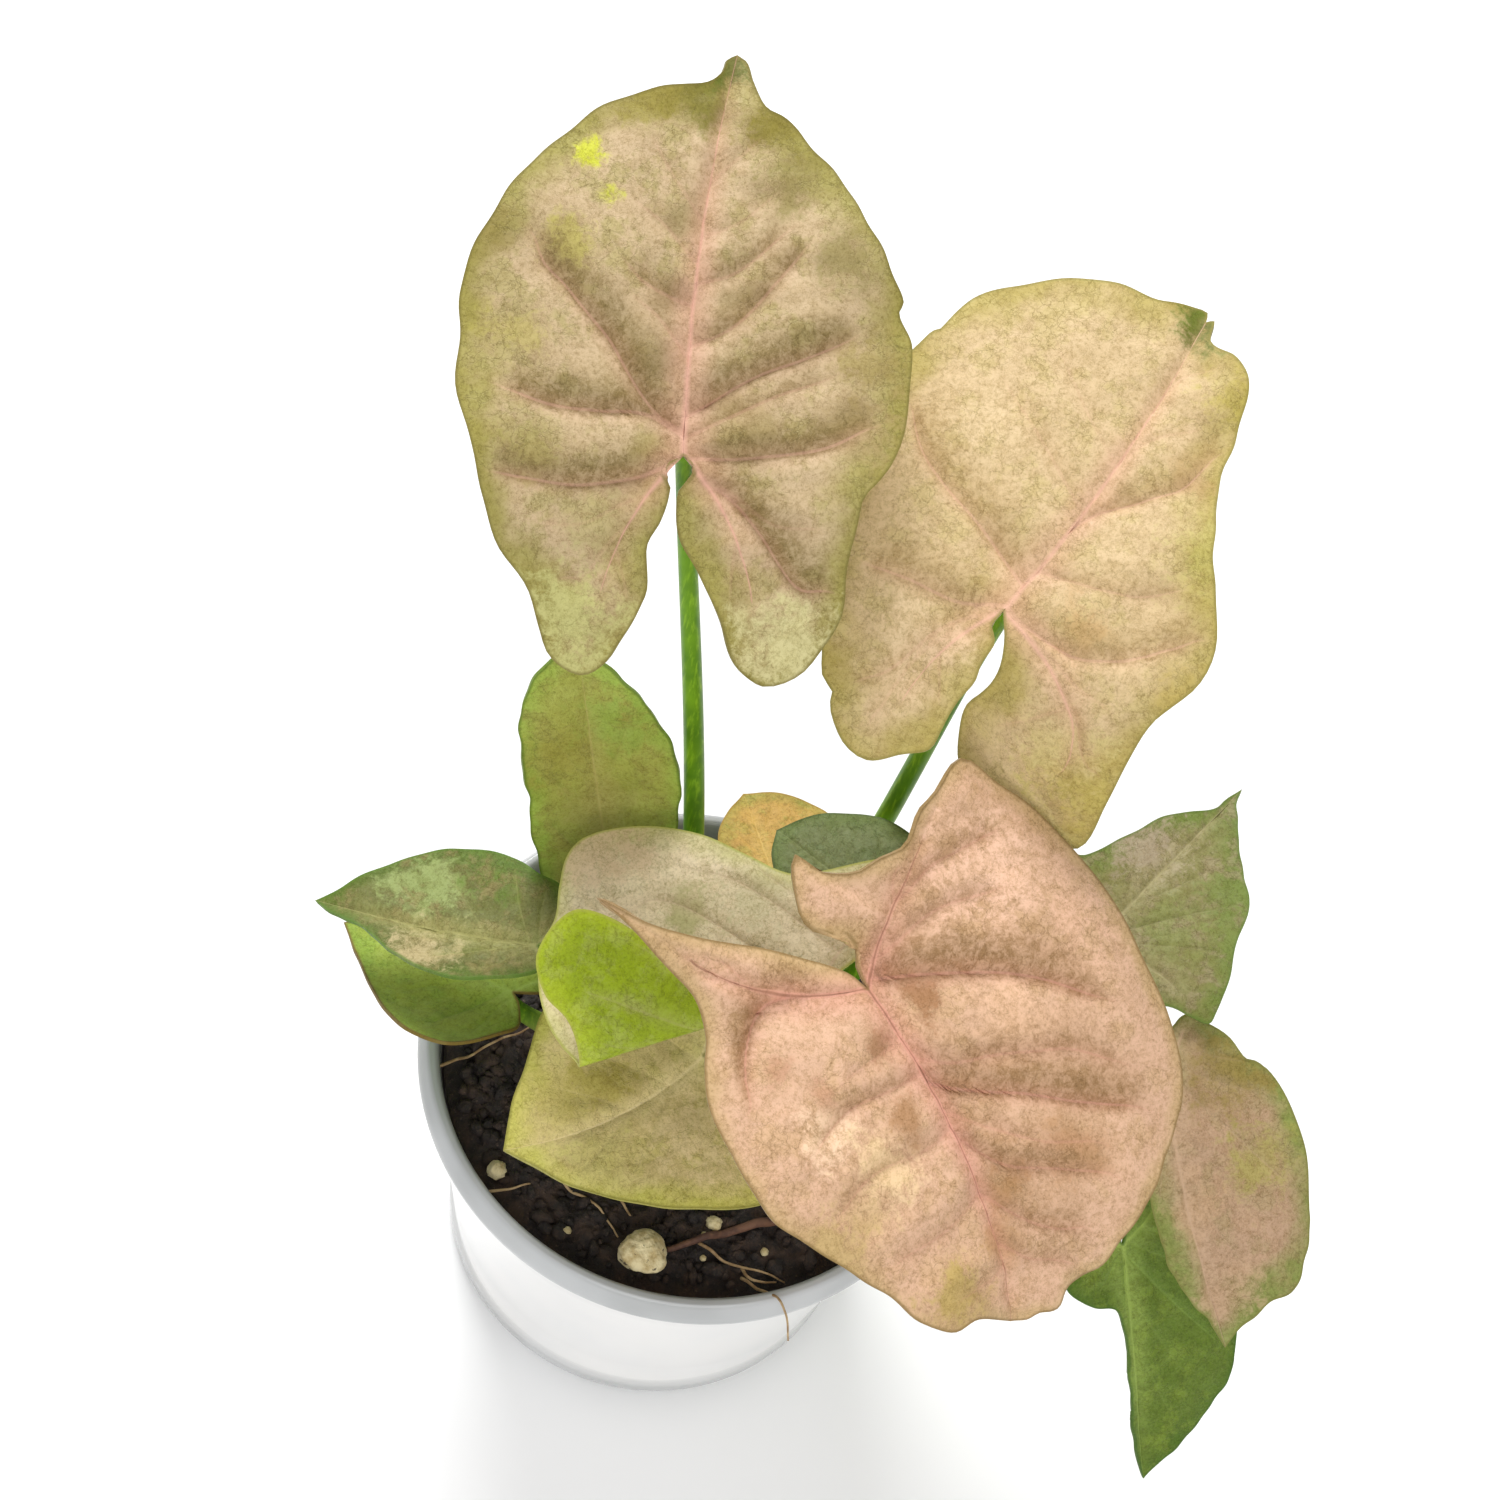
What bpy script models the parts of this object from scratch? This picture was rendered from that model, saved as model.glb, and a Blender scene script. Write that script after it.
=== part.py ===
# Potted arrowhead plant: thirteen arrow-shaped leaves on thin stalks, in a small round pot of dark soil.
# The origin is the middle of the pot's underside. All lengths here are millimetres until toMetres.

import bpy
import bmesh
import numpy as np

toMetres = 0.001

# pot
potRimRadius = 33.0
potHeight = 48.6
potBaseRadius = 25.8
potWall = 1.0
potFloor = 2.0
potSides = 56

# soil
soilClearance = 0.35
soilEdgeLevel = 44.4
soilMound = 2.2
crown = (1.0, 8.0)

# leaves and stalks
bladeThickness = 0.7
stalkRootRadius = 1.35
stalkTopRadius = 0.95
stalkSides = 8
stalkRings = 11
clearance = 0.3
rootDepth = 9.0
sideColumns = 9
lobeColumns = 5
plainRows = (0.0, 0.3, 0.65, 1.0)
lobeVeinReach = 0.66
lobeVeinBow = 0.07
foldRows = (0.0, 0.07, 0.15, 0.26, 0.45, 0.7, 1.0)

# the perlite grain on the soil near the front rim
grainAt = (0.5, -26.1)
grainRadius = 2.8

# Each leaf: base is where the stalk meets the blade, tip is where the midrib ends, both in the room.
# The margins are (across, along) in the flat blade, measured from the base, and are walked from the tip:
# side runs down to the shoulder, lobe to the end of the basal lobe, and inner back to the stalk. The lobe's
# vein is a parabola that ends lobeVeinReach of the way to the lobe's end, unless the half gives its own.
# fold and curl are the blade's slope beside the midrib in degrees, and its change per millimetre outwards;
# a half marked folded has finer rows beside the midrib, and its fold opens out towards the stalk.
leaves = {
    "a": dict(
        base=(-19.6, 22.5, 132), tip=(-26.7, 62.3, 146), length=43.5, bow=-1.2,
        bend=-10, tipBend=-10, lobeBend=16, quilt=0.5, root=(-4.0, 14.0), arrive=(-0.15, 0.0, 1.0),
        colour=(196, 172, 134),
        right=dict(
            side=[(1.1, 42.7), (2, 40.5), (3.5, 37.5), (5.6, 36.7), (10.2, 33.1), (13.9, 28.8),
                  (17.4, 23.7), (20.3, 19.4), (20, 18.4), (21.7, 14.6)],
            lobe=[(22.1, 7.4), (21.2, 2.6), (19.9, 0.3), (18.5, -1.5), (18.4, -4.7), (18.3, -9.4),
                  (18.3, -13.6), (17, -17.1), (15.1, -20.2), (11.5, -22)],
            inner=[(8.9, -20.7), (6.2, -16), (3.3, -11.6), (0.9, -8.4), (0, -5.2), (0, -3.4), (1.2, -1.9),
                   (1.3, -0.9)],
            fold=12, curl=-1.0, ripple=0.8, waves=4),
        left=dict(
            side=[(-1.1, 42.6), (-1.3, 41.2), (-2.8, 39.3), (-7.7, 37.8), (-12.8, 35.1), (-17.2, 30.6),
                  (-20.9, 25), (-23.7, 19.1), (-24.6, 13.5), (-24.1, 8)],
            lobe=[(-23.5, 3.1), (-21, -2.9), (-19.8, -6.5), (-17.4, -11.1), (-14.8, -14.1), (-13.6, -15.8),
                  (-12, -19.2), (-10.3, -22.2), (-7.1, -23.4)],
            inner=[(-4.6, -21.6), (-3.2, -19), (-2.2, -15.8), (-1.7, -13.9), (-2.4, -9.6), (-1.3, -6.9),
                   (-1, -3.5), (-1.9, -1.9), (-1.4, -0.9)],
            fold=12, curl=-1.0, ripple=0.8, waves=4)),
    "b": dict(
        base=(16.2, 21.3, 124), tip=(28.2, 56.8, 134), length=39.5, bow=1.2,
        bend=-12, tipBend=-20, lobeBend=18, quilt=0.4, root=(7.0, 16.0), arrive=(0.1, -0.12, 1.0), lean=1.6,
        colour=(214, 186, 145),
        right=dict(
            side=[(0.6, 40.3), (1.9, 37.2), (5.1, 36.5), (7.5, 35.3), (9.7, 29.1), (11.4, 23.1), (13.4, 19),
                  (16.9, 13.5)],
            lobe=[(20.2, 8.7), (20.8, 4.5), (19.1, -1.6), (18.7, -6.3), (19.2, -13.3), (19, -20.3),
                  (16.6, -21.6), (12, -22)],
            inner=[(6.4, -20.6), (3.6, -19.2), (1.6, -13.9), (1.5, -11.3), (1.8, -10.6), (2.6, -7.4),
                   (2.6, -5), (1.7, -2.4)],
            vein=(13.5, -12.5), fold=8, curl=-0.8, lobeBend=55, ripple=0.8, waves=3),
        left=dict(
            side=[(-0.6, 40.9), (-2.3, 39.9), (-5.5, 37.7), (-9.9, 37), (-13.1, 35.5), (-18.1, 32),
                  (-21.8, 27.9), (-22.8, 22.5), (-23.4, 22), (-24.2, 16), (-23.8, 9)],
            lobe=[(-21.8, 2), (-20, -4), (-13.8, -13.7), (-12.2, -15.7), (-10.5, -16.3), (-9.8, -17.9),
                  (-6.6, -20.5), (-3.7, -20.6)],
            inner=[(-1, -18.2), (1.1, -16.1), (1.2, -14), (1.1, -10), (1.4, -7.7), (1, -5.8), (1, -3.2),
                   (-0.1, -2)],
            fold=8, curl=-0.9, ripple=0.7, waves=3)),
    "c": dict(
        base=(13.9, -15.7, 106), tip=(38.3, -37.2, 86), length=39.0, bow=-1.5,
        bend=-22, tipBend=-25, lobeBend=-10, quilt=0.9, root=(8.0, -0.5), arrive=(0.05, -0.25, 1.0),
        colour=(222, 176, 152),
        right=dict(
            side=[(2.6, 36.6), (4.7, 35.3), (7.7, 34.8), (10.6, 32.1), (13, 27.9), (16.2, 22.7),
                  (19.3, 18.3), (21, 14.4), (21.6, 8.6)],
            lobe=[(21.3, 3.8), (19.5, -1.4), (18.2, -3.6), (17.4, -7.3), (18.4, -10.9), (19.7, -14.9),
                  (22.4, -21.2)],
            inner=[(17.9, -15.7), (11.6, -10.9), (5.6, -6.4), (1, -2.2)],
            vein=(16.5, -11.5), fold=16, curl=-1.2, ripple=0.6, waves=3),
        left=dict(
            side=[(-1.9, 39.7), (-3.2, 39), (-5.3, 39.4), (-6.9, 38), (-11.6, 38.5), (-14.3, 36.1),
                  (-18.5, 32.8), (-23.6, 30.1), (-26.5, 27.1)],
            lobe=[(-28.1, 23.8), (-29.2, 17.7), (-28.9, 11.1), (-29.3, 5.5), (-28.6, -1.2), (-26.4, -8),
                  (-23.3, -12.1), (-20.3, -16.5)],
            inner=[(-15.3, -14.6), (-13.1, -13.9), (-11.1, -12.2), (-10, -11.4), (-6.8, -11.4),
                   (-4.1, -11.1), (-0.7, -13.1), (-0.2, -14.3), (0.6, -15.6), (1.7, -14.6), (2.6, -11.5),
                   (2.9, -9), (1.9, -7.5), (-0.8, -5.8), (-1.1, -4.2), (-0.2, -2.8)],
            vein=(-12, -10.5), fold=14, curl=-0.9, ripple=0.9, waves=4)),
    "d": dict(
        base=(10.4, -4.4, 82), tip=(-12.8, -17.9, 74), length=28.0, bow=0,
        bend=0, tipBend=0, lobeBend=10, quilt=0.3, root=(4.0, 4.0), colour=(184, 164, 124),
        right=dict(
            side=[(1.7, 28.9), (5.4, 29.9), (9.6, 29.8), (13.7, 28.7), (16.9, 26.1), (20.3, 24.6),
                  (23.3, 23), (25.3, 20.2)],
            lobe=[(24.9, 14.3), (21.6, 7.9), (17.5, 3.6), (13.4, -0.9), (12, -12), (8, -14)],
            inner=[(4.5, -11), (2.4, -6)],
            fold=8, curl=-0.5, ripple=0.5, waves=3),
        left=dict(
            side=[(-4.4, 27.2), (-7.6, 27.4), (-10.8, 28.8), (-15.2, 28.4), (-18.8, 23.2), (-14.6, 17.4),
                  (-9.6, 11)],
            lobe=[(-7.2, 5), (-6.4, 0), (-5.4, -3.6), (-4, -4.8)],
            inner=[(-2.6, -4.2), (-1.3, -2.4)],
            fold=160, curl=-0.3, soft=2.2, ripple=0.3, waves=2, folded=True)),
    "e": dict(
        base=(0.6, -7.0, 62), tip=(-17.6, -24.3, 60), length=25.6, bow=-2.4,
        bend=-14, tipBend=-8, lobeBend=10, quilt=0.4, root=(-3.0, 3.0), colour=(165, 160, 75),
        right=dict(
            side=[(3.7, 22.7), (8.8, 17.9), (12.5, 14.2), (15.4, 7.6)],
            lobe=[(14.6, 2), (12.6, -5), (9.2, -10.4), (6.2, -11)],
            inner=[(3.6, -8.6), (1.6, -4.6)],
            fold=10, curl=-0.8, ripple=0.4, waves=3),
        left=dict(
            side=[(-2.9, 23.8), (-6, 22.1), (-10.1, 18.3), (-14.3, 13.5), (-17.3, 8.2)],
            lobe=[(-18.9, 3.2), (-18.6, -3), (-16, -7), (-12.5, -8)],
            inner=[(-8.5, -6), (-4.5, -3.2)],
            fold=10, curl=-0.8, ripple=0.4, waves=3)),
    "f": dict(
        base=(-15.4, 10.5, 62), tip=(-25.5, 17.8, 98), bank=-35, length=38.5, bow=0.0,
        bend=-8, tipBend=-10, lobeBend=10, quilt=0.3, root=(-9.0, 11.0), colour=(120, 150, 65),
        right=dict(
            side=[(4, 35.2), (7.8, 27.8), (9.5, 21.4), (9.2, 15.4)],
            lobe=[(8.4, 9.7), (7.1, 3.9), (4.9, -1.2), (2.7, -4)],
            inner=[(1.5, -3.6), (0.5, -1.8)],
            fold=14, curl=-0.8, ripple=0.4, waves=3),
        left=dict(
            side=[(-3.1, 38), (-6.2, 34.4), (-7.6, 29.2), (-7.9, 23.7), (-7.8, 16.7)],
            lobe=[(-8.2, 12), (-7.8, 6.4), (-7.5, 1.7), (-6.4, -3.1)],
            inner=[(-4.2, -3.8), (-1.9, -2.4)],
            fold=14, curl=-0.8, ripple=0.5, waves=3)),
    "g": dict(
        base=(-20.9, -2.8, 68), tip=(-47.3, -1.6, 60), length=27.8, bow=-1.0,
        bend=-10, tipBend=-12, lobeBend=14, quilt=0.3, root=(-8.0, 5.0), colour=(130, 140, 60),
        right=dict(
            side=[(1.6, 25.3), (5.4, 21.1), (9.3, 14.5), (9.9, 6.3)],
            lobe=[(9, 3.1), (8.2, 0.4), (6.2, -1.6), (4, -2.4)],
            inner=[(2, -1.6)],
            fold=10, curl=-1.0, ripple=0.3, waves=3),
        left=dict(
            side=[(-1.5, 25.1), (-2.6, 21.1), (-6.5, 13.5)],
            lobe=[(-7.6, 7.5), (-6.4, 3.2), (-4.4, -0.2), (-2.6, -1.6)],
            inner=[(-1.2, -1.2)],
            fold=26, curl=-1.4, ripple=0.3, waves=2)),
    "h": dict(
        base=(-22.5, -3.5, 56), tip=(-44.4, 0.7, 52), length=22.6, bow=0.0,
        bend=-6, tipBend=-6, lobeBend=8, quilt=0.3, root=(-12.0, 0.0), colour=(95, 145, 40),
        right=dict(
            side=[(3.4, 18), (6.2, 13), (7.6, 8.6)],
            lobe=[(7.4, 4), (6.2, -1.4), (4.6, -4.6)],
            inner=[(2.8, -4.2), (1.2, -2.4)],
            fold=8, curl=-0.8, ripple=0.3, waves=2),
        left=dict(
            side=[(-2.6, 19.9), (-8.7, 13.7), (-13.6, 7.2)],
            lobe=[(-13.6, 3.2), (-10.6, 0.6), (-6.6, -1.4), (-4, -2.6)],
            inner=[(-2.4, -2), (-1, -1.2)],
            fold=8, curl=2.6, ripple=0.3, waves=2)),
    "i": dict(
        base=(2.5, 19.0, 60), tip=(-4.0, 31.5, 56), length=14.0, bow=0.0,
        bend=-10, tipBend=0, lobeBend=10, quilt=0.2, root=(2.0, 17.0), colour=(205, 165, 80),
        right=dict(
            side=[(3.6, 13.2), (7, 11.4), (9.4, 8.4)],
            lobe=[(8.4, 4), (6.8, 0), (5, -3)],
            inner=[(3.2, -2.8), (1.4, -1.8)],
            fold=10, curl=-1.6, ripple=0.3, waves=2),
        left=dict(
            side=[(-2.4, 11.4), (-4.4, 8.6), (-5.4, 5.6)],
            lobe=[(-5.8, 2.6), (-5.2, -1), (-3.8, -3.4)],
            inner=[(-2.2, -3), (-1, -2)],
            fold=10, curl=-1.2, ripple=0.2, waves=2)),
    "j": dict(
        base=(15.3, 7.3, 79.5), tip=(1.3, 15.1, 77.5), length=16.5, bow=0.0,
        bend=-14, tipBend=-10, lobeBend=10, quilt=0.2, root=(9.0, 9.5), colour=(105, 120, 75),
        right=dict(
            side=[(3, 15.2), (6.6, 12.6), (9.4, 9)],
            lobe=[(10, 4), (8.4, -1), (6, -4.6)],
            inner=[(3.2, -4), (1.2, -2.2)],
            fold=10, curl=-1.4, ripple=0.3, waves=2),
        left=dict(
            side=[(-3, 14.4), (-5.8, 11), (-7.6, 7.4)],
            lobe=[(-7.8, 3), (-6.6, -1.4), (-4.6, -4.6)],
            inner=[(-2.8, -4), (-1.2, -2.2)],
            fold=10, curl=-1.4, ripple=0.3, waves=2)),
    "k": dict(
        base=(40.3, 18.6, 68), tip=(52.9, 42.5, 72), length=27.4, bow=0.0,
        bend=-8, tipBend=10, lobeBend=12, quilt=0.3, root=(14.0, 11.0), colour=(135, 145, 80),
        right=dict(
            side=[(0.8, 25.5), (3.2, 22.8), (5.6, 20.2), (10.2, 16.2)],
            lobe=[(12.1, 11.8), (14.6, 7), (16, 3.2), (16.3, 1.6)],
            inner=[(14.1, 0.7), (11.8, 0.2), (7, -2.6), (3, -2.4)],
            fold=12, curl=-0.9, ripple=0.3, waves=2),
        left=dict(
            side=[(-0.5, 25.2), (-0.7, 23.5), (-4.4, 17.7), (-6.2, 12.1), (-7.9, 7.4)],
            lobe=[(-9.6, 6), (-11, 0), (-10, -6), (-7.4, -8.6)],
            inner=[(-4.6, -7), (-1.8, -3.8)],
            fold=12, curl=-0.8, ripple=0.3, waves=2)),
    "l": dict(
        base=(51.6, 7.6, 66), tip=(68.0, -16.9, 50), length=34.5, bow=1.8,
        bend=-30, tipBend=-10, lobeBend=14, quilt=0.4, root=(14.0, 4.0), colour=(175, 145, 115),
        right=dict(
            side=[(1.9, 30.4), (4, 26.9), (5.2, 23.5), (5.8, 18)],
            lobe=[(5.8, 11), (5.6, 4), (5, -3), (4, -6)],
            inner=[(2.4, -5.4), (1, -3)],
            fold=-30, curl=-4.0, ripple=0.2, waves=2),
        left=dict(
            side=[(-1.9, 32.3), (-5.8, 29.9), (-8.7, 29.4), (-11.3, 25.9), (-12.8, 20.3)],
            lobe=[(-13.5, 13.6), (-12.9, 7.7), (-11.2, 3.4), (-9.4, 2.2), (-8.2, -0.5), (-6.4, -2.8),
                  (-4.7, -4.6)],
            inner=[(-2.7, -3.7), (-0.9, -2)],
            fold=12, curl=-1.0, ripple=0.5, waves=2)),
    "m": dict(
        base=(54.0, -8.5, 50), tip=(66.3, -24.0, 24), length=34.5, bow=0.0,
        bend=-10, tipBend=10, lobeBend=8, quilt=0.3, root=(12.5, -3.5), arrive=(0.9, -0.1, -0.25), reach=0.36,
        colour=(95, 130, 45),
        right=dict(
            side=[(0.6, 31), (0.9, 27), (0.9, 19.4), (1, 12)],
            lobe=[(1.8, 8.8), (4.8, 6.8), (8, 3), (6.6, -1.6)],
            inner=[(3.6, -2.6), (1.4, -2)],
            fold=6, curl=-0.8, ripple=0.2, waves=2),
        left=dict(
            side=[(-3.4, 32), (-7.2, 29.6), (-10.6, 25.2), (-12.8, 20.4)],
            lobe=[(-13.8, 13), (-12.6, 5), (-10, -2), (-6.6, -5.6)],
            inner=[(-3.6, -5), (-1.4, -3)],
            fold=14, curl=-1.0, ripple=0.4, waves=3)),
}

stalkColour = (70, 120, 20)


def smoothCurve(points, marks, counts):
    # a smooth curve through the points, read at equal lengths between the marked ones
    p = np.array(points, float)
    gap = np.linalg.norm(np.diff(p, axis=0), axis=1) ** 0.5 + 1e-9
    slope = np.diff(p, axis=0) / gap[:, None]
    tangent = np.empty_like(p)
    weight = (gap[:-1] + gap[1:])[:, None]
    tangent[1:-1] = (slope[:-1] * gap[1:, None] + slope[1:] * gap[:-1, None]) / weight
    tangent[0] = slope[0]
    tangent[-1] = slope[-1]
    h = np.linspace(0, 1, 25)[:-1, None]
    fine = []
    for i in range(len(p) - 1):
        here = (2 * h**3 - 3 * h**2 + 1) * p[i] + (h**3 - 2 * h**2 + h) * gap[i] * tangent[i]
        there = (3 * h**2 - 2 * h**3) * p[i + 1] + (h**3 - h**2) * gap[i] * tangent[i + 1]
        fine.append(here + there)
    fine = np.vstack(fine + [p[-1:]])
    runs = []
    for first, last, count in zip(marks[:-1], marks[1:], counts):
        part = fine[first * 24: last * 24 + 1]
        steps = np.linalg.norm(np.diff(part, axis=0), axis=1)
        length = np.concatenate([[0], np.cumsum(steps)])
        at = np.linspace(0, length[-1], count + 1)
        run = np.column_stack([np.interp(at, length, part[:, k]) for k in range(2)])
        runs.append(run if not runs else run[1:])
    return np.vstack(runs)


def midribAcross(leaf, along):
    # the midrib bows sideways as a parabola between base and tip
    part = np.clip(along / leaf["length"], 0, 1)
    return 4 * leaf["bow"] * part * (1 - part)


def halfGrid(leaf, side, sideCount, lobeCount, rows):
    # one half of the flat blade: straight lines from the midrib, then the lobe's vein, out to the margin
    half = leaf[side]
    margin = [(0.0, leaf["length"])] + half["side"] + half["lobe"] + half["inner"] + [(0.0, 0.0)]
    shoulder = len(half["side"])
    lobeEnd = shoulder + len(half["lobe"])
    marks = [0, shoulder, lobeEnd, len(margin) - 1]
    rim = smoothCurve(margin, marks, [sideCount, lobeCount, lobeCount])
    up = leaf["length"] * np.linspace(1, 0, sideCount + 1) ** 1.45
    midrib = np.column_stack([midribAcross(leaf, up), up])
    out = np.linspace(0, 1, lobeCount + 1)[1:]
    there = np.concatenate([out, out[::-1][1:], [0.0]])[:, None]
    lobeEnd = np.array(half["lobe"][-1], float)
    outward = np.array([-lobeEnd[1], lobeEnd[0]]) * np.sign(lobeEnd[0])
    end = np.array(half.get("vein", lobeVeinReach * lobeEnd + lobeVeinBow * outward), float)
    turn = end - (lobeEnd - end) * 0.5 * np.linalg.norm(end) / np.linalg.norm(lobeEnd - end)
    bone = np.vstack([midrib, 2 * there * (1 - there) * turn + there**2 * end])
    t = np.array(rows)[None, :, None]
    flat = bone[:, None] * (1 - t) + rim[:, None] * t
    along = np.linspace(0, 1, len(bone))[:, None] * np.ones(len(rows))
    across = np.ones(len(bone))[:, None] * np.array(rows)
    return flat, along, across


def bendBlade(leaf, side, flat, along, across):
    # folds the flat half about the midrib, ripples it, and bends midrib and lobe lengthwise
    half = leaf[side]
    y = flat[..., 1]
    centre = midribAcross(leaf, y)
    offset = flat[..., 0] - centre
    far = np.abs(offset)
    fold = np.radians(half["fold"]) * (np.clip(y / 8, 0.3, 1) if half.get("folded") else 1)
    curl = np.radians(half["curl"])
    soft = half.get("soft", 2.0)
    x = np.zeros_like(far)
    z = np.zeros_like(far)
    steps = 32
    for i in range(steps):
        d = far * (i + 0.5) / steps
        angle = fold * (1 - np.exp(-d / soft)) + curl * d
        x += np.cos(angle) * far / steps
        z += np.sin(angle) * far / steps
    x = np.sign(offset) * x + centre
    z += half["ripple"] * across**2 * np.sin(2 * np.pi * half["waves"] * along) * np.clip(far / 4, 0, 1)
    dome = np.abs(np.sin(9 * np.pi * along)) - 0.5
    z += leaf["quilt"] * np.sin(np.pi * across) * dome * np.clip(far / 5, 0, 1)
    length = leaf["length"]
    lobeBend = np.radians(half.get("lobeBend", leaf["lobeBend"]))

    def slopeAt(v):
        up = np.clip(v, 0, None)
        down = np.clip(-v, 0, None)
        blade = np.radians(leaf["bend"]) * up / length
        blade += np.radians(leaf["tipBend"]) * np.clip((up / length - 0.7) / 0.3, 0, None) ** 2
        return blade + lobeBend * (1 - np.exp(-down / 4.0))

    alongBent = np.zeros_like(y)
    lift = np.zeros_like(y)
    for i in range(steps):
        angle = slopeAt(y * (i + 0.5) / steps)
        alongBent += np.cos(angle) * y / steps
        lift += np.sin(angle) * y / steps
    angle = slopeAt(y)
    return np.stack([x, alongBent - z * np.sin(angle), lift + z * np.cos(angle)], -1)


def leafAxes(leaf):
    # across, along and normal of the blade, turned so that the bent midrib ends on the line to the tip
    base = np.array(leaf["base"], float)
    along = np.array(leaf["tip"], float) - base
    along /= np.linalg.norm(along)
    across = np.cross(along, [0, 0, 1])
    across /= np.linalg.norm(across)
    normal = np.cross(across, along)
    bank = np.radians(leaf.get("bank", 0))
    level, up = across, normal
    across = np.cos(bank) * level - np.sin(bank) * up
    normal = np.sin(bank) * level + np.cos(bank) * up
    end = np.array([[0.0, leaf["length"]]])
    bent = bendBlade(leaf, "right", end, np.zeros(1), np.zeros(1))[0]
    turn = np.arctan2(bent[2], bent[1])
    turned = np.cos(turn) * along - np.sin(turn) * normal
    normal = np.sin(turn) * along + np.cos(turn) * normal
    return base, across, turned, normal


def weld(points, triangles):
    # joins points that coincide and drops triangles that have lost a side
    key = np.round(points * 2000).astype(int)
    _, first, index = np.unique(key, axis=0, return_index=True, return_inverse=True)
    triangles = index.reshape(-1)[triangles]
    a, b, c = triangles.T
    keep = (a != b) & (b != c) & (c != a)
    return points[first], triangles[keep]


def bladeSheet(leaf):
    # the middle surface of a blade, both halves welded, split into triangles
    base, across, along, normal = leafAxes(leaf)
    points, triangles, count = [], [], 0
    for side in ("right", "left"):
        rows = foldRows if leaf[side].get("folded") else plainRows
        grid = halfGrid(leaf, side, sideColumns, lobeColumns, rows)
        bent = bendBlade(leaf, side, *grid)
        world = base + bent[..., :1] * across + bent[..., 1:2] * along + bent[..., 2:] * normal
        m, n = world.shape[:2]
        i = np.arange(m * n).reshape(m, n) + count
        quads = np.stack([i[:-1, :-1], i[1:, :-1], i[1:, 1:], i[:-1, 1:]], -1).reshape(-1, 4)
        if side == "right":
            quads = quads[:, ::-1]
        triangles += [quads[:, [0, 1, 2]], quads[:, [0, 2, 3]]]
        points.append(world.reshape(-1, 3))
        count += m * n
    return weld(np.vstack(points), np.vstack(triangles))


def vertexNormals(points, triangles):
    corner = points[triangles]
    face = np.cross(corner[:, 1] - corner[:, 0], corner[:, 2] - corner[:, 0])
    normals = np.zeros_like(points)
    for k in range(3):
        np.add.at(normals, triangles[:, k], face)
    return normals / (np.linalg.norm(normals, axis=1)[:, None] + 1e-12)


def thicken(points, triangles, thickness):
    # two faces alike on either side of the middle surface, closed along the margin
    shift = vertexNormals(points, triangles) * thickness / 2
    count = len(points)
    edges = {}
    for tri in triangles:
        for a, b in ((tri[0], tri[1]), (tri[1], tri[2]), (tri[2], tri[0])):
            edges[(a, b)] = True
    rim = [(a, b) for a, b in edges if (b, a) not in edges]
    faces = [tuple(t) for t in triangles]
    faces += [(c + count, b + count, a + count) for a, b, c in triangles]
    for a, b in rim:
        faces.append((b, a, a + count))
        faces.append((b, a + count, b + count))
    return np.vstack([points + shift, points - shift]), faces


def makeObject(name, points, faces, colour, roughness, metallic=0.0, alpha=1.0):
    mesh = bpy.data.meshes.new(name)
    mesh.from_pydata((np.asarray(points) * toMetres).tolist(), [], [tuple(map(int, f)) for f in faces])
    mesh.update()
    obj = bpy.data.objects.new(name, mesh)
    bpy.context.collection.objects.link(obj)
    material = bpy.data.materials.new(name)
    material.use_nodes = True
    shader = material.node_tree.nodes["Principled BSDF"]
    linear = [(c / 255) ** 2.2 for c in colour]
    shader.inputs["Base Color"].default_value = (*linear, 1.0)
    shader.inputs["Roughness"].default_value = roughness
    shader.inputs["Metallic"].default_value = metallic
    shader.inputs["Alpha"].default_value = alpha
    mesh.materials.append(material)
    mesh.shade_smooth()
    mesh.set_sharp_from_angle(angle=0.7)
    return obj


def bezier(p, t):
    t = t[:, None]
    return (1 - t)**3 * p[0] + 3 * (1 - t)**2 * t * p[1] + 3 * (1 - t) * t**2 * p[2] + t**3 * p[3]


def stalkPath(leaf, rings):
    # from inside the soil up and over to just under the base of the blade
    base, across, along, normal = leafAxes(leaf)
    arrive = np.array(leaf.get("arrive", normal + 0.35 * along), float)
    arrive /= np.linalg.norm(arrive)
    lean = np.linalg.norm(np.cross(arrive, normal))
    top = base + along * 1.2 - normal * (bladeThickness / 2 + clearance + 0.1 + stalkTopRadius * lean)
    root = np.array([leaf["root"][0], leaf["root"][1], soilEdgeLevel - rootDepth + 2.0])
    span = np.linalg.norm(top - root)
    rise = np.array([0.0, 0.0, 1.0]) + leaf.get("lean", 0.55) * (top - root) * [1, 1, 0] / span
    control = [root, root + rise * span * 0.42, top - arrive * span * leaf.get("reach", 0.3), top]
    return bezier(control, np.linspace(0, 1, rings))


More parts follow.
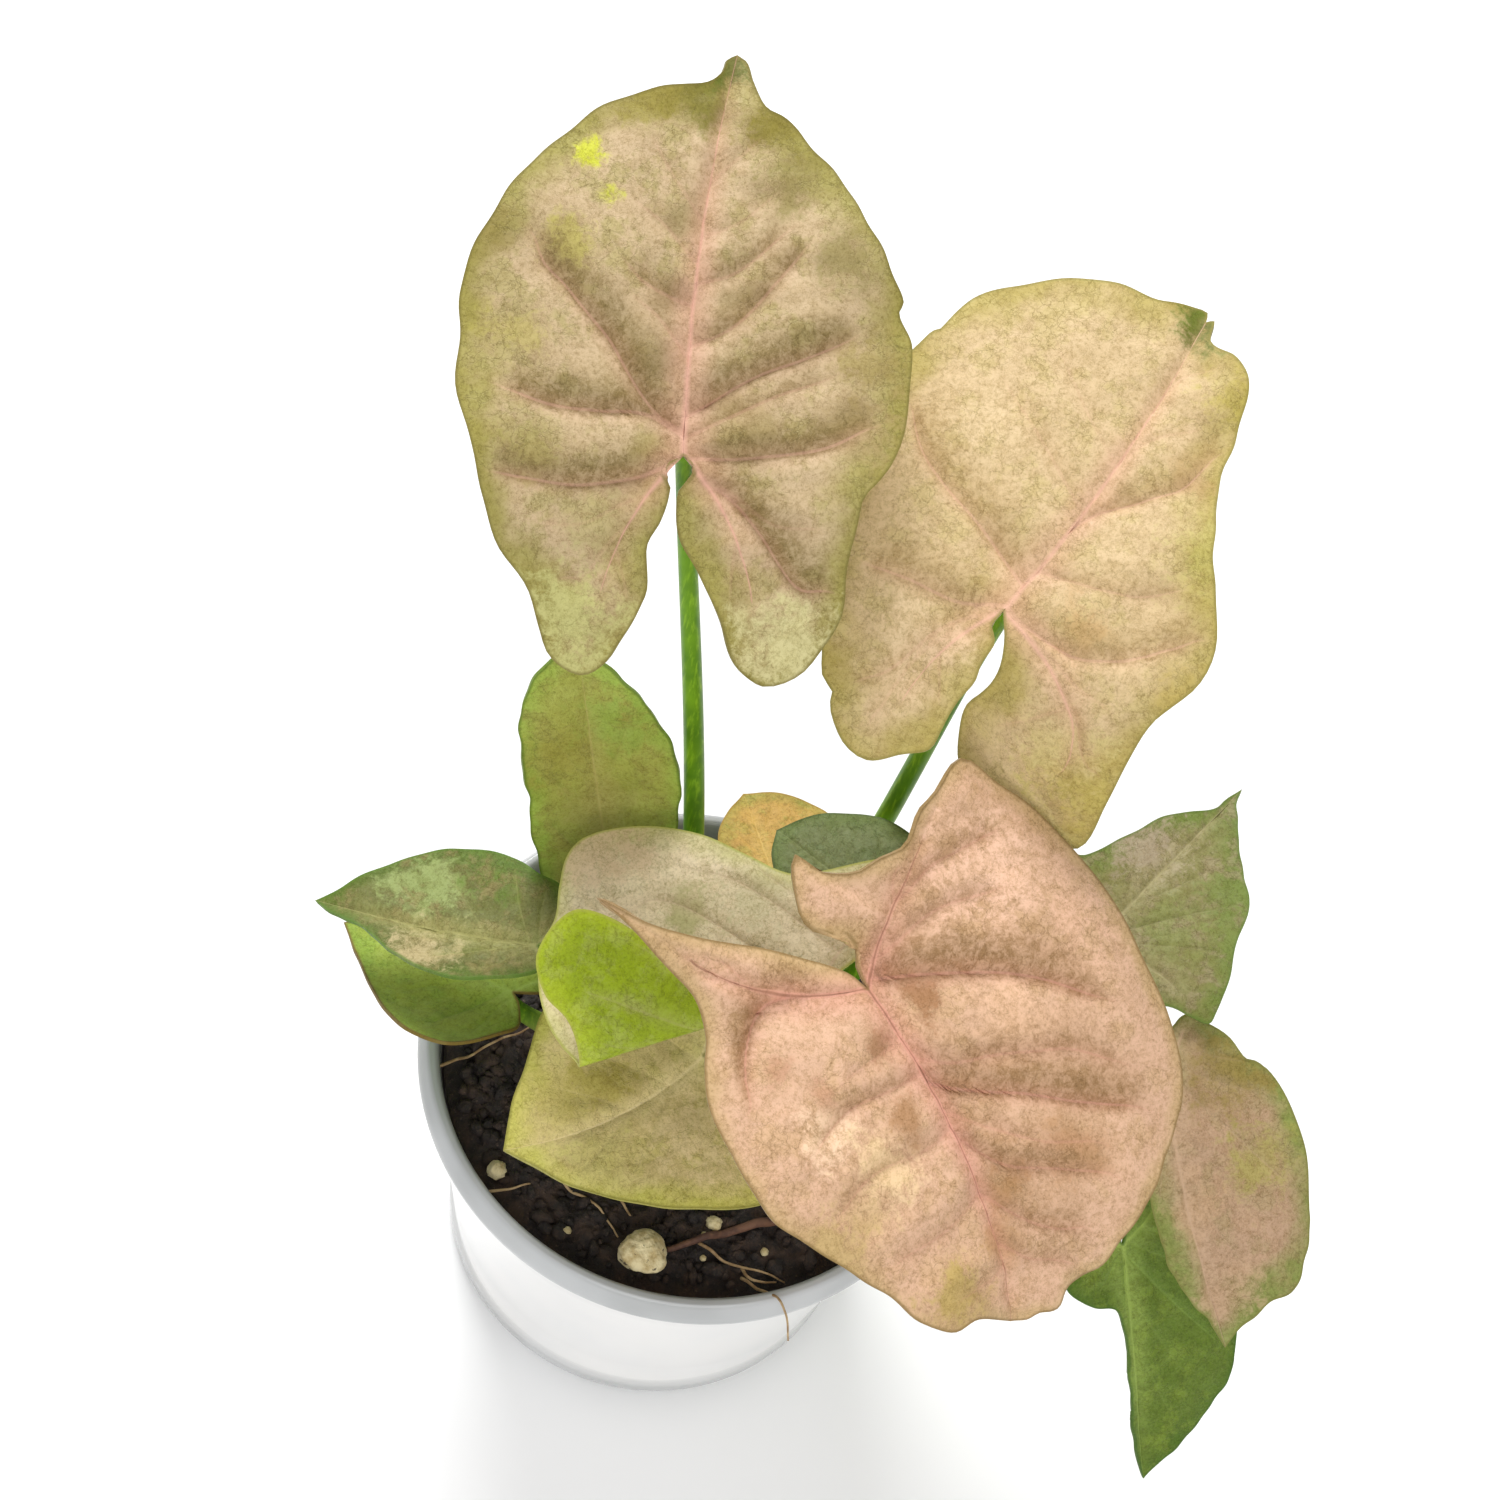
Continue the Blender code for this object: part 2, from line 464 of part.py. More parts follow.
def tube(path, radii, sides):
    # rings carried along the path without twisting, closed by a fan at each end
    step = np.gradient(path, axis=0)
    step /= np.linalg.norm(step, axis=1)[:, None]
    side = np.cross(step[0], [0.3, 1.0, 0.2])
    points = []
    turn = 2 * np.pi * np.arange(sides) / sides
    for centre, ahead, radius in zip(path, step, radii):
        side = side - ahead * (side @ ahead)
        side /= np.linalg.norm(side)
        other = np.cross(ahead, side)
        points.append(centre + radius * (np.cos(turn)[:, None] * side + np.sin(turn)[:, None] * other))
    points = np.vstack(points + [path[:1], path[-1:]])
    n = len(path)
    faces = []
    for i in range(n - 1):
        for k in range(sides):
            a, b = i * sides + k, i * sides + (k + 1) % sides
            faces.append((a, b, b + sides, a + sides))
    for k in range(sides):
        faces.append((n * sides, (k + 1) % sides, k))
        last = (n - 1) * sides
        faces.append((n * sides + 1, last + k, last + (k + 1) % sides))
    return points, faces


def lathe(profile, sides):
    # a profile turned about the Z axis; it starts and ends on the axis, bottom first, and runs up outside
    turn = 2 * np.pi * np.arange(sides) / sides
    points = [(0.0, 0.0, profile[0][1])]
    for r, z in profile[1:-1]:
        points += [(r * np.cos(a), r * np.sin(a), z) for a in turn]
    points.append((0.0, 0.0, profile[-1][1]))
    rings = len(profile) - 2
    faces = []
    for k in range(sides):
        nextK = (k + 1) % sides
        faces.append((0, 1 + nextK, 1 + k))
        for i in range(rings - 1):
            a, b = 1 + i * sides + k, 1 + i * sides + nextK
            faces.append((a, b, b + sides, a + sides))
        last = 1 + (rings - 1) * sides
        faces.append((len(points) - 1, last + k, last + nextK))
    return np.array(points), faces


def soilHeight(x, y):
    # a low mound round the stalks, with crumbs as crossed waves
    mound = soilMound * np.exp(-((x - crown[0])**2 + (y - crown[1])**2) / 420.0)
    crumbs = 0.35 * np.sin(0.9 * x + 0.5 * y) + 0.3 * np.sin(0.7 * y - 0.6 * x + 1.3)
    crumbs += 0.25 * np.sin(1.7 * x - 0.4 * y + 0.6) * np.sin(1.5 * y + 0.9)
    return soilEdgeLevel + mound + crumbs


def makePot():
    wallTop = potHeight - 5.0
    outerTop = potRimRadius - 1.9
    profile = [(0, 0), (potBaseRadius - 1.6, 0), (potBaseRadius - 0.5, 0.4), (potBaseRadius, 1.4)]
    profile += [(potBaseRadius + 0.2, 3.8), (potBaseRadius - 0.2, 4.6), (outerTop, wallTop)]
    profile += [(potRimRadius - 0.9, wallTop + 0.7), (potRimRadius - 0.1, wallTop + 1.6)]
    profile += [(potRimRadius, wallTop + 2.6), (potRimRadius - 0.5, wallTop + 4.0)]
    profile += [(potRimRadius - 1.2, potHeight), (potRimRadius - 1.9, potHeight - 0.1)]
    profile += [(potRimRadius - 2.4, potHeight - 1.0), (outerTop - potWall, wallTop)]
    profile += [(potBaseRadius - 0.2 - potWall, 4.6), (potBaseRadius - 2.4, potFloor), (0, potFloor)]
    points, faces = lathe(profile, potSides)
    return makeObject("pot", points, faces, (226, 226, 224), 0.2)


def makeSoil():
    # a solid plug that fills the pot, its top raised by soilHeight, with a hole for each stalk
    rings = 12
    sides = 44
    topRadius = potRimRadius - 1.9 - potWall - soilClearance
    footRadius = potBaseRadius - 0.2 - potWall - soilClearance
    turn = 2 * np.pi * np.arange(sides) / sides
    bottom = potFloor + soilClearance
    points = [(0.0, 0.0, bottom)]
    for r, z in ((footRadius - 1.6, bottom), (footRadius, 4.6 + soilClearance)):
        points += [(r * np.cos(a), r * np.sin(a), z) for a in turn]
    for i in range(rings):
        r = topRadius * (1 - i / rings)
        for a in turn:
            x, y = r * np.cos(a), r * np.sin(a)
            edge = min(1.0, i / 2)
            points.append((x, y, soilEdgeLevel - 0.9 + (soilHeight(x, y) - soilEdgeLevel + 0.9) * edge))
    points.append((0.0, 0.0, float(soilHeight(0.0, 0.0))))
    faces = []
    for k in range(sides):
        nextK = (k + 1) % sides
        faces.append((0, 1 + nextK, 1 + k))
        for i in range(rings + 1):
            a, b = 1 + i * sides + k, 1 + i * sides + nextK
            faces.append((a, b, b + sides, a + sides))
        last = 1 + (rings + 1) * sides
        faces.append((len(points) - 1, last + k, last + nextK))
    soil = makeObject("soil", points, faces, (52, 40, 34), 0.95)
    return soil


def makeHoles(soil, paths):
    # one cutter of separate tubes, a little wider and longer than the stalks' roots
    points, faces, count = [], [], 0
    for path, radii in paths:
        keep = path[:, 2] < soilEdgeLevel + 12
        route = path[keep]
        ahead = route[1] - route[0]
        route = np.vstack([route[0] - ahead / np.linalg.norm(ahead) * clearance, route[1:]])
        p, f = tube(route, radii[keep] + clearance, stalkSides)
        points.append(p)
        faces += [tuple(k + count for k in face) for face in f]
        count += len(p)
    cutter = makeObject("stalk_holes", np.vstack(points), faces, (52, 40, 34), 0.95)
    cutter.hide_render = True
    cutter.display_type = "WIRE"
    cut = soil.modifiers.new("holes", "BOOLEAN")
    cut.operation = "DIFFERENCE"
    cut.solver = "EXACT"
    cut.object = cutter


def makeGrain():
    # a rounded crumb of perlite, its surface pushed in and out by waves, seated on the soil below it
    mesh = bmesh.new()
    bmesh.ops.create_icosphere(mesh, subdivisions=3, radius=1.0)
    direction = np.array([v.co[:] for v in mesh.verts])
    faces = [[v.index for v in f.verts] for f in mesh.faces]
    mesh.free()
    x, y, z = direction.T
    swell = 1 + 0.09 * np.sin(3.1 * x + 1.0) * np.sin(2.7 * y) + 0.07 * np.sin(4.3 * z + 2.0 * x)
    points = direction * swell[:, None] * grainRadius * np.array([1.0, 0.9, 0.8])
    points += np.array([grainAt[0], grainAt[1], 0.0])
    points[:, 2] += (soilHeight(points[:, 0], points[:, 1]) - points[:, 2]).max() + clearance
    return makeObject("perlite", points, faces, (206, 196, 168), 0.85)


def build():
    for obj in list(bpy.data.objects):
        bpy.data.objects.remove(obj)
    makePot()
    soil = makeSoil()
    paths = []
    for name, leaf in leaves.items():
        points, triangles = bladeSheet(leaf)
        points, faces = thicken(points, triangles, bladeThickness)
        makeObject("leaf_" + name, points, faces, leaf["colour"], 0.5)
        path = stalkPath(leaf, stalkRings)
        radii = np.linspace(stalkRootRadius, stalkTopRadius, stalkRings)
        points, faces = tube(path, radii, stalkSides)
        makeObject("stalk_" + name, points, faces, stalkColour, 0.4)
        paths.append((path, radii))
    makeHoles(soil, paths)
    makeGrain()


build()
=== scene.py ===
# Potted arrowhead plant: the looks. The blades, stalks, pot and soil are made again on finer grids
# than the solids they stand for. Lengths are millimetres until toMetres, and angles are degrees.

import bpy
import numpy as np
from mathutils import Matrix, Vector


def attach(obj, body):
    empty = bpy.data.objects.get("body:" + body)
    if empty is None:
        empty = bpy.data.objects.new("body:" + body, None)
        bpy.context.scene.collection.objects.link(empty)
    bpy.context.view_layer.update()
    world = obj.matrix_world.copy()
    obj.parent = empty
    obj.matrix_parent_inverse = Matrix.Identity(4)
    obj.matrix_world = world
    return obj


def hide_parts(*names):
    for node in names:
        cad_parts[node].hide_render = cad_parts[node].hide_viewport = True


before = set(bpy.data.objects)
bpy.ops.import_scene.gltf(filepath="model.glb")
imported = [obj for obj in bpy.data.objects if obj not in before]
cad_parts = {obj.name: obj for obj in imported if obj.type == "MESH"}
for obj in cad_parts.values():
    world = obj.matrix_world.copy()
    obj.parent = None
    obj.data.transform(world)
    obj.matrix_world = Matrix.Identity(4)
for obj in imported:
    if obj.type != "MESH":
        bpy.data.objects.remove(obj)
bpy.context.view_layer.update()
scene = bpy.context.scene
toMetres = 0.001


def linear(hexColour):
    # sRGB to linear light: c / 12.92 up to 0.04045, and ((c + 0.055) / 1.055)^2.4 above
    value = np.array([int(hexColour[k:k + 2], 16) for k in (1, 3, 5)]) / 255
    light = np.where(value <= 0.04045, value / 12.92, ((value + 0.055) / 1.055) ** 2.4)
    return (*light.tolist(), 1.0)


def addNode(tree, kind, settings=None, links=None):
    # one shader node: settings are properties or input values by name or number, links feed its inputs
    node = tree.nodes.new(kind)
    for key, value in (settings or {}).items():
        if isinstance(key, str) and hasattr(node, key):
            setattr(node, key, value)
        else:
            node.inputs[key].default_value = value
    for key, source in (links or {}).items():
        tree.links.new(source, node.inputs[key])
    return node


def newMaterial(name):
    # a material with its node tree and its one shader
    material = bpy.data.materials.new(name)
    material.use_nodes = True
    tree = material.node_tree
    return material, tree, tree.nodes["Principled BSDF"]


def mixColour(tree, factor, first, second, blend="MIX"):
    # first where factor is 0, second where it is 1; each may be a socket or a hex colour
    node = addNode(tree, "ShaderNodeMix", {"data_type": "RGBA", "blend_type": blend})
    for key, value in ((0, factor), (6, first), (7, second)):
        if isinstance(value, bpy.types.NodeSocket):
            tree.links.new(value, node.inputs[key])
        else:
            node.inputs[key].default_value = linear(value) if isinstance(value, str) else value
    return node.outputs[2]


def ramp(tree, value, low, high, first=0.0, last=1.0):
    # smooth step of the value from low to high, out as first to last
    settings = {"interpolation_type": "SMOOTHSTEP", 1: low, 2: high, 3: first, 4: last}
    return addNode(tree, "ShaderNodeMapRange", settings, {0: value}).outputs[0]


def maths(tree, operation, first, second=0.0):
    # one sum on two values; each may be a socket or a number
    node = addNode(tree, "ShaderNodeMath", {"operation": operation})
    for key, value in ((0, first), (1, second)):
        if isinstance(value, bpy.types.NodeSocket):
            tree.links.new(value, node.inputs[key])
        else:
            node.inputs[key].default_value = value
    return node.outputs[0]


def noise(tree, vector, size, detail=3.0, rough=0.55, seed=0.0, distort=0.0):
    # soft noise whose blobs are about size across, in the vector's own unit
    settings = {"noise_dimensions": "4D", "Scale": 1.0 / size, "Detail": detail, "Roughness": rough,
                "W": seed, "Distortion": distort}
    return addNode(tree, "ShaderNodeTexNoise", settings, {"Vector": vector}).outputs[0]


def makeMesh(name, points, faces, materials, node=None, materialIndex=None, uvs=None, sharp=None):
    # faces is an array of corner numbers, all of one length; uvs are arrays of one pair for each corner
    faces = np.asarray(faces, np.int32)
    corners = faces.shape[1]
    mesh = bpy.data.meshes.new(name)
    mesh.vertices.add(len(points))
    mesh.vertices.foreach_set("co", (np.asarray(points) * toMetres).astype(np.float32).ravel())
    mesh.loops.add(faces.size)
    mesh.loops.foreach_set("vertex_index", faces.ravel())
    mesh.polygons.add(len(faces))
    mesh.polygons.foreach_set("loop_start", np.arange(len(faces), dtype=np.int32) * corners)
    for material in materials:
        mesh.materials.append(material)
    if materialIndex is not None:
        mesh.polygons.foreach_set("material_index", np.asarray(materialIndex, np.int32))
    for key, values in (uvs or {}).items():
        mesh.uv_layers.new(name=key).data.foreach_set("uv", values.astype(np.float32).ravel())
    mesh.update(calc_edges=True)
    mesh.validate()
    mesh.shade_smooth()
    if sharp:
        mesh.set_sharp_from_angle(angle=sharp)
    piece = bpy.data.objects.new(name, mesh)
    scene.collection.objects.link(piece)
    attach(piece, "root")
    if node:
        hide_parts(node)
    return piece


# Each leaf: base is where the stalk meets the blade and tip is where the midrib ends, both in the room, and
# root is where the stalk stands. The margins are (across, along) in the flat blade, measured from the base,
# and are walked from the tip: side runs to the shoulder, lobe to the basal lobe's end, and inner back to the
# stalk. fold and curl are the blade's slope beside the midrib, and its change per millimetre outwards; quilt
# is how high the skin domes between the veins. A half's veins are written as sideVeins are, further down.
# Most of the margins and of the listed veins were worked out by a program from lines traced on the photo.
# The look names the colours of the top's middle, margin and cloudy patches, of the painted shade on the steep
# side of the veins, whose slope faces away from the key light, of the ribs and their core, of the fine line
# at the edge, and of the underside. patches adds single marks where the photo shows them: (across, along,
# radius, colour, amount).
leaves = {
    "a": dict(
        base=(-19.6, 22.5, 132), tip=(-26.7, 62.3, 146), length=43.5, bow=-1.2, bend=-10, tipBend=-10,
        lobeBend=16, quilt=0.75, root=(-4, 14), arrive=(-0.15, 0, 1),
        look=dict(middle="#c6ae8a", margin="#9c924c", marginWidth=5, patch="#a39a58", patchAmount=0.55,
                  shade="#877444", paintedShadeAmount=0.95, rib="#d2a18c", line="#746a32", under="#b9ad86",
                  underMargin="#9aa05a"),
        patches=[(6.9, 30.4, 4.4, "#867c3c", 0.6), (4.2, 35.2, 4, "#8a7f38", 0.8),
            (14, 22.5, 4, "#897e42", 0.6), (18.5, 12, 5, "#9b8a50", 0.7), (18, 5.5, 4.5, "#a08a5a", 0.6),
            (-3, 38.2, 4, "#7f7834", 0.8), (-0.3, 42, 3.8, "#5d681c", 1), (-8.5, 37, 4, "#94883f", 0.7),
            (-21.6, 20.5, 3.5, "#94854a", 0.6), (-14.6, 19.6, 3.4, "#b3ad46", 0.55),
            (-18.6, 9.9, 4, "#aaa04c", 0.5), (-14, 29.5, 2.2, "#c6c83c", 0.9),
            (-11.4, 25.6, 1.6, "#bfc03c", 0.7), (-15.7, -1.3, 4, "#9a934a", 0.6),
            (5.4, 3.4, 4, "#9a8852", 0.5), (13.4, -17, 6, "#cdc48e", 0.8),
            (-9.1, -18.2, 6, "#bcb876", 0.8), (-7.5, -7.7, 4.5, "#a8a064", 0.5),
            (-4, 9.4, 3.2, "#94805c", 0.7), (-3.2, 17, 3, "#94805a", 0.75),
            (-3.6, 24.5, 2.6, "#998a5c", 0.65), (4.6, 16.6, 2.6, "#98845c", 0.7)],
        right=dict(
            side=[(1.1, 42.7), (2, 40.5), (3.5, 37.5), (5.6, 36.7), (10.2, 33.1), (13.9, 28.8),
                (17.4, 23.7), (20.3, 19.4), (20, 18.4), (21.7, 14.6)],
            lobe=[(22.1, 7.4), (21.2, 2.6), (19.9, 0.3), (18.5, -1.5), (18.4, -4.7), (18.3, -9.4),
                (18.3, -13.6), (17, -17.1), (15.1, -20.2), (11.5, -22)],
            inner=[(8.9, -20.7), (6.2, -16), (3.3, -11.6), (0.9, -8.4), (0, -5.2), (0, -3.4), (1.2, -1.9),
                (1.3, -0.9)],
            veins=[(0.35, [(0, 0.25), (0.38, 0.25), (0.65, 0.25)]),
                (0.35, [(0, 0.36), (0.33, 0.4), (0.65, 0.4)]),
                (0.6, [(0, 0.46), (0.3, 0.51), (0.62, 0.51)]),
                (0.7, [(0, 0.61), (0.28, 0.64), (0.5, 0.61), (0.68, 0.58)]),
                (1, [(0, 0.81), (0.15, 0.81), (0.33, 0.82), (0.5, 0.85), (0.75, 0.89)]),
                (0.6, [(0, 0.89), (0.25, 0.92), (0.43, 0.94), (0.62, 0.97)]),
                (1, [(0, 1.03), (0.18, 1.12), (0.4, 1.18), (0.6, 1.2), (0.8, 1.18)]),
                (0.35, [(0, 1.12), (0.08, 1.27), (0.3, 1.47), (0.7, 1.5)]),
                (1, [(0, 1.2), (0.2, 1.5), (0.48, 1.7), (0.85, 1.67)]), (0.3, [(0, 2.4), (0.6, 2.3)])],
            fold=12, curl=-1, ripple=0.8, waves=4),
        left=dict(
            side=[(-1.1, 42.6), (-1.3, 41.2), (-2.8, 39.3), (-7.7, 37.8), (-12.8, 35.1), (-17.2, 30.6),
                (-20.9, 25), (-23.7, 19.1), (-24.6, 13.5), (-24.1, 8)],
            lobe=[(-23.5, 3.1), (-21, -2.9), (-19.8, -6.5), (-17.4, -11.1), (-14.8, -14.1), (-13.6, -15.8),
                (-12, -19.2), (-10.3, -22.2), (-7.1, -23.4)],
            inner=[(-4.6, -21.6), (-3.2, -19), (-2.2, -15.8), (-1.7, -13.9), (-2.4, -9.6), (-1.3, -6.9),
                (-1, -3.5), (-1.9, -1.9), (-1.4, -0.9)],
            veins=[(0.35, [(0, 0.33), (0.38, 0.32), (0.6, 0.31)]),
                (0.4, [(0, 0.42), (0.28, 0.42), (0.48, 0.44)]),
                (0.6, [(0, 0.51), (0.3, 0.57), (0.4, 0.57)]),
                (0.5, [(0, 0.64), (0.18, 0.61), (0.3, 0.62)]),
                (1, [(0, 0.86), (0.1, 0.86), (0.23, 0.82), (0.35, 0.76), (0.48, 0.74), (0.62, 0.72),
                     (0.75, 0.71), (0.8, 0.68)]),
                (1, [(0, 0.88), (0.15, 0.88), (0.38, 0.99), (0.55, 1.05), (0.78, 1.07)]),
                (1, [(0, 1.07), (0.1, 1.22), (0.35, 1.33), (0.7, 1.35), (0.88, 1.35)]),
                (0.3, [(0, 1.33), (0.3, 1.5), (0.65, 1.5)]), (0.3, [(0, 1.55), (0.3, 1.75), (0.62, 1.72)]),
                (0.3, [(0, 2.3), (0.6, 2.3)])],
            fold=12, curl=-1, ripple=0.8, waves=4)),
    "b": dict(
        base=(16.2, 21.3, 124), tip=(28.2, 56.8, 134), length=39.5, bow=1.2, bend=-12, tipBend=-20,
        lobeBend=18, quilt=0.5, root=(7, 16), arrive=(0.1, -0.12, 1), lean=1.6,
        look=dict(middle="#d2b88e", margin="#b4a25c", marginWidth=5, patch="#c2b270", patchAmount=0.4,
                  shade="#ab8f5c", paintedShadeAmount=0.65, rib="#dcae94", line="#8a8040", under="#cdb795",
                  underMargin="#a9ab62"),
        patches=[(0.6, 39.5, 4, "#667022", 1), (7.7, 32.5, 4, "#b3a44e", 0.6),
            (8.4, 22.3, 3, "#b08f5a", 0.5), (7.5, 2.6, 3.5, "#b8935c", 0.55),
            (14.8, 16.1, 5, "#b8b062", 0.5), (-4.8, -6.8, 5, "#e2c8a0", 0.6),
            (-12.7, 14.9, 5, "#ddc49a", 0.5), (14.5, -12.6, 6, "#b9aa5c", 0.7),
            (20.3, 2, 4, "#b9a35a", 0.5), (11.7, -9, 5, "#cfbe86", 0.6)],
        right=dict(
            side=[(0.6, 40.3), (1.9, 37.2), (5.1, 36.5), (7.5, 35.3), (9.7, 29.1), (11.4, 23.1),
                (13.4, 19), (16.9, 13.5)],
            lobe=[(20.2, 8.7), (20.8, 4.5), (19.1, -1.6), (18.7, -6.3), (19.2, -13.3), (19, -20.3),
                (16.6, -21.6), (12, -22)],
            inner=[(6.4, -20.6), (3.6, -19.2), (1.6, -13.9), (1.5, -11.3), (1.8, -10.6), (2.6, -7.4),
                (2.6, -5), (1.7, -2.4)],
            veins=[(0.3, [(0, 0.22), (0.23, 0.18), (0.78, 0.22)]),
                (0.35, [(0, 0.38), (0.2, 0.35), (0.65, 0.4)]),
                (1, [(0, 0.58), (0.15, 0.56), (0.5, 0.6), (0.78, 0.61), (0.88, 0.53)]),
                (0.6, [(0, 0.74), (0.25, 0.85), (0.6, 0.99), (0.83, 0.99)]),
                (1, [(0, 0.94), (0.05, 1.1), (0.18, 1.2), (0.48, 1.2), (0.75, 1.15), (0.9, 1.12)]),
                (0.4, [(0, 1.13), (0.15, 1.33), (0.55, 1.4)]), (0.4, [(0, 1.4), (0.3, 1.65), (0.7, 1.62)]),
                (0.4, [(0, 2.5), (0.6, 2.45)])],
            vein=(13.5, -12.5), fold=8, curl=-0.8, lobeBend=55, ripple=0.8, waves=3),
        left=dict(
            side=[(-0.6, 40.9), (-2.3, 39.9), (-5.5, 37.7), (-9.9, 37), (-13.1, 35.5), (-18.1, 32),
                (-21.8, 27.9), (-22.8, 22.5), (-23.4, 22), (-24.2, 16), (-23.8, 9)],
            lobe=[(-21.8, 2), (-20, -4), (-13.8, -13.7), (-12.2, -15.7), (-10.5, -16.3), (-9.8, -17.9),
                (-6.6, -20.5), (-3.7, -20.6)],
            inner=[(-1, -18.2), (1.1, -16.1), (1.2, -14), (1.1, -10), (1.4, -7.7), (1, -5.8), (1, -3.2),
                (-0.1, -2)],
            veins=[(0.3, [(0, 0.39), (0.4, 0.43), (0.65, 0.44)]),
                (0.4, [(0, 0.53), (0.35, 0.57), (0.6, 0.6)]),
                (1, [(0, 0.82), (0.25, 0.85), (0.48, 0.89), (0.68, 0.9), (0.83, 0.86)]),
                (1, [(0, 0.94), (0.15, 1.18), (0.43, 1.27), (0.68, 1.33)]),
                (0.6, [(0, 1.07), (0.28, 1.67), (0.68, 1.75)]),
                (0.4, [(0, 1.3), (0.3, 1.85), (0.6, 1.92)]), (0.4, [(0, 2.45), (0.6, 2.4)])],
            fold=8, curl=-0.9, ripple=0.7, waves=3)),
    "c": dict(
        base=(13.9, -15.7, 106), tip=(38.3, -37.2, 86), length=39, bow=-1.5, bend=-22, tipBend=-25,
        lobeBend=-10, quilt=1.25, root=(8, -0.5), arrive=(0.05, -0.25, 1),
        look=dict(middle="#dab294", margin="#c8a87c", marginWidth=2.6, patch="#c9a678", patchAmount=0.4,
                  shade="#a07c54", paintedShadeAmount=0.9, rib="#d99a88", core="#96684f", line="#80683c",
                  under="#cfae90", underMargin="#aaa260"),
        patches=[(12.3, 10.7, 3.6, "#efccaa", 0.95), (8, 17, 4.5, "#e8c99c", 0.75),
            (3.1, 13.6, 2.6, "#b08660", 0.75), (2, 5.6, 2.4, "#ae8460", 0.8),
            (13.6, 2.6, 2, "#bd8c6c", 0.5), (10, 7, 2, "#bd8c6c", 0.5), (-5.3, 3.9, 3.2, "#a97e5a", 0.85),
            (-5, 24.5, 3, "#b0865a", 0.75), (-12.5, 24.9, 4, "#b98e64", 0.6),
            (-12.7, 9.1, 4, "#e4bb9a", 0.6), (-16.3, -4.5, 7, "#eec4a8", 0.7),
            (-23.8, 5, 5, "#e6ba9c", 0.5), (5.2, 31.6, 4.5, "#bfa466", 0.85),
            (-1.3, 29.7, 3, "#b48c5c", 0.6), (11.9, 19.4, 4, "#d3b284", 0.6), (16, 22, 5, "#c4a870", 0.6)],
        right=dict(
            side=[(2.6, 36.6), (4.7, 35.3), (7.7, 34.8), (10.6, 32.1), (13, 27.9), (16.2, 22.7),
                (19.3, 18.3), (21, 14.4), (21.6, 8.6)],
            lobe=[(21.3, 3.8), (19.5, -1.4), (18.2, -3.6), (17.4, -7.3), (18.4, -10.9), (19.7, -14.9),
                (22.4, -21.2)],
            inner=[(17.9, -15.7), (11.6, -10.9), (5.6, -6.4), (1, -2.2)],
            veins=[(0.35, [(0, 0.12), (0.55, 0.17), (0.75, 0.25)]),
                (0.4, [(0, 0.28), (0.43, 0.35), (0.83, 0.46)]),
                (0.4, [(0, 0.44), (0.28, 0.51), (0.6, 0.64), (0.83, 0.67)]),
                (0.5, [(0, 0.6), (0.23, 0.69), (0.45, 0.79), (0.68, 0.82)]),
                (0.3, [(0, 0.72), (0.2, 0.79), (0.38, 0.86)]),
                (1, [(0, 1.4), (0.18, 1.43), (0.45, 1.37), (0.68, 1.22), (0.8, 1.08)]),
                (0.35, [(0, 1.7), (0.6, 1.65)]), (0.35, [(0, 2.4), (0.6, 2.35)])],
            vein=(16.5, -11.5), fold=16, curl=-1.2, ripple=0.6, waves=3),
        left=dict(
            side=[(-1.9, 39.7), (-3.2, 39), (-5.3, 39.4), (-6.9, 38), (-11.6, 38.5), (-14.3, 36.1),
                (-18.5, 32.8), (-23.6, 30.1), (-26.5, 27.1)],
            lobe=[(-28.1, 23.8), (-29.2, 17.7), (-28.9, 11.1), (-29.3, 5.5), (-28.6, -1.2), (-26.4, -8),
                (-23.3, -12.1), (-20.3, -16.5)],
            inner=[(-15.3, -14.6), (-13.1, -13.9), (-11.1, -12.2), (-10, -11.4), (-6.8, -11.4),
                (-4.1, -11.1), (-0.7, -13.1), (-0.2, -14.3), (0.6, -15.6), (1.7, -14.6), (2.6, -11.5),
                (2.9, -9), (1.9, -7.5), (-0.8, -5.8), (-1.1, -4.2), (-0.2, -2.8)],
            veins=[(0.5, [(0, 0.17), (0.62, 0.24), (0.88, 0.33)]),
                (0.6, [(0, 0.28), (0.53, 0.35), (0.8, 0.47)]),
                (0.7, [(0, 0.42), (0.35, 0.47), (0.6, 0.57), (0.83, 0.67)]),
                (0.5, [(0, 0.49), (0.33, 0.57), (0.58, 0.65), (0.75, 0.75)]),
                (1, [(0, 0.57), (0.28, 0.68), (0.48, 0.78), (0.65, 0.85), (0.85, 0.94)]),
                (0.6, [(0, 0.65), (0.23, 0.76), (0.43, 0.93), (0.58, 1.03), (0.78, 1.05)]),
                (1, [(0, 1.07), (0.1, 1.15), (0.28, 1.22), (0.43, 1.25), (0.58, 1.25), (0.75, 1.22)]),
                (0.5, [(0, 1.2), (0.18, 1.5), (0.5, 1.57)]),
                (0.5, [(0, 1.6), (0.15, 1.75), (0.38, 1.77), (0.68, 1.77)]), (0.4, [(0, 2.4), (0.6, 2.3)])],
            vein=(-12, -10.5), fold=14, curl=-0.9, ripple=0.9, waves=4)),
    "d": dict(
        base=(10.4, -4.4, 82), tip=(-12.8, -17.9, 74), length=28, bow=0, bend=0, tipBend=0, lobeBend=10,
        quilt=0.3, root=(4, 4),
        # D's middle is partly its own pale colour and partly painted light: lighter still, to make up for the
        # shade the leaves above cast on it
        look=dict(middle="#f2e2c2", margin="#d8d29a", marginWidth=3.5, patch="#c6c092", patchAmount=0.3,
                  shade="#cbbf98", paintedShadeAmount=0.4, rib="#c8b090", line="#a9ad4a", under="#8fa412",
                  underMargin="#a9bc28"),
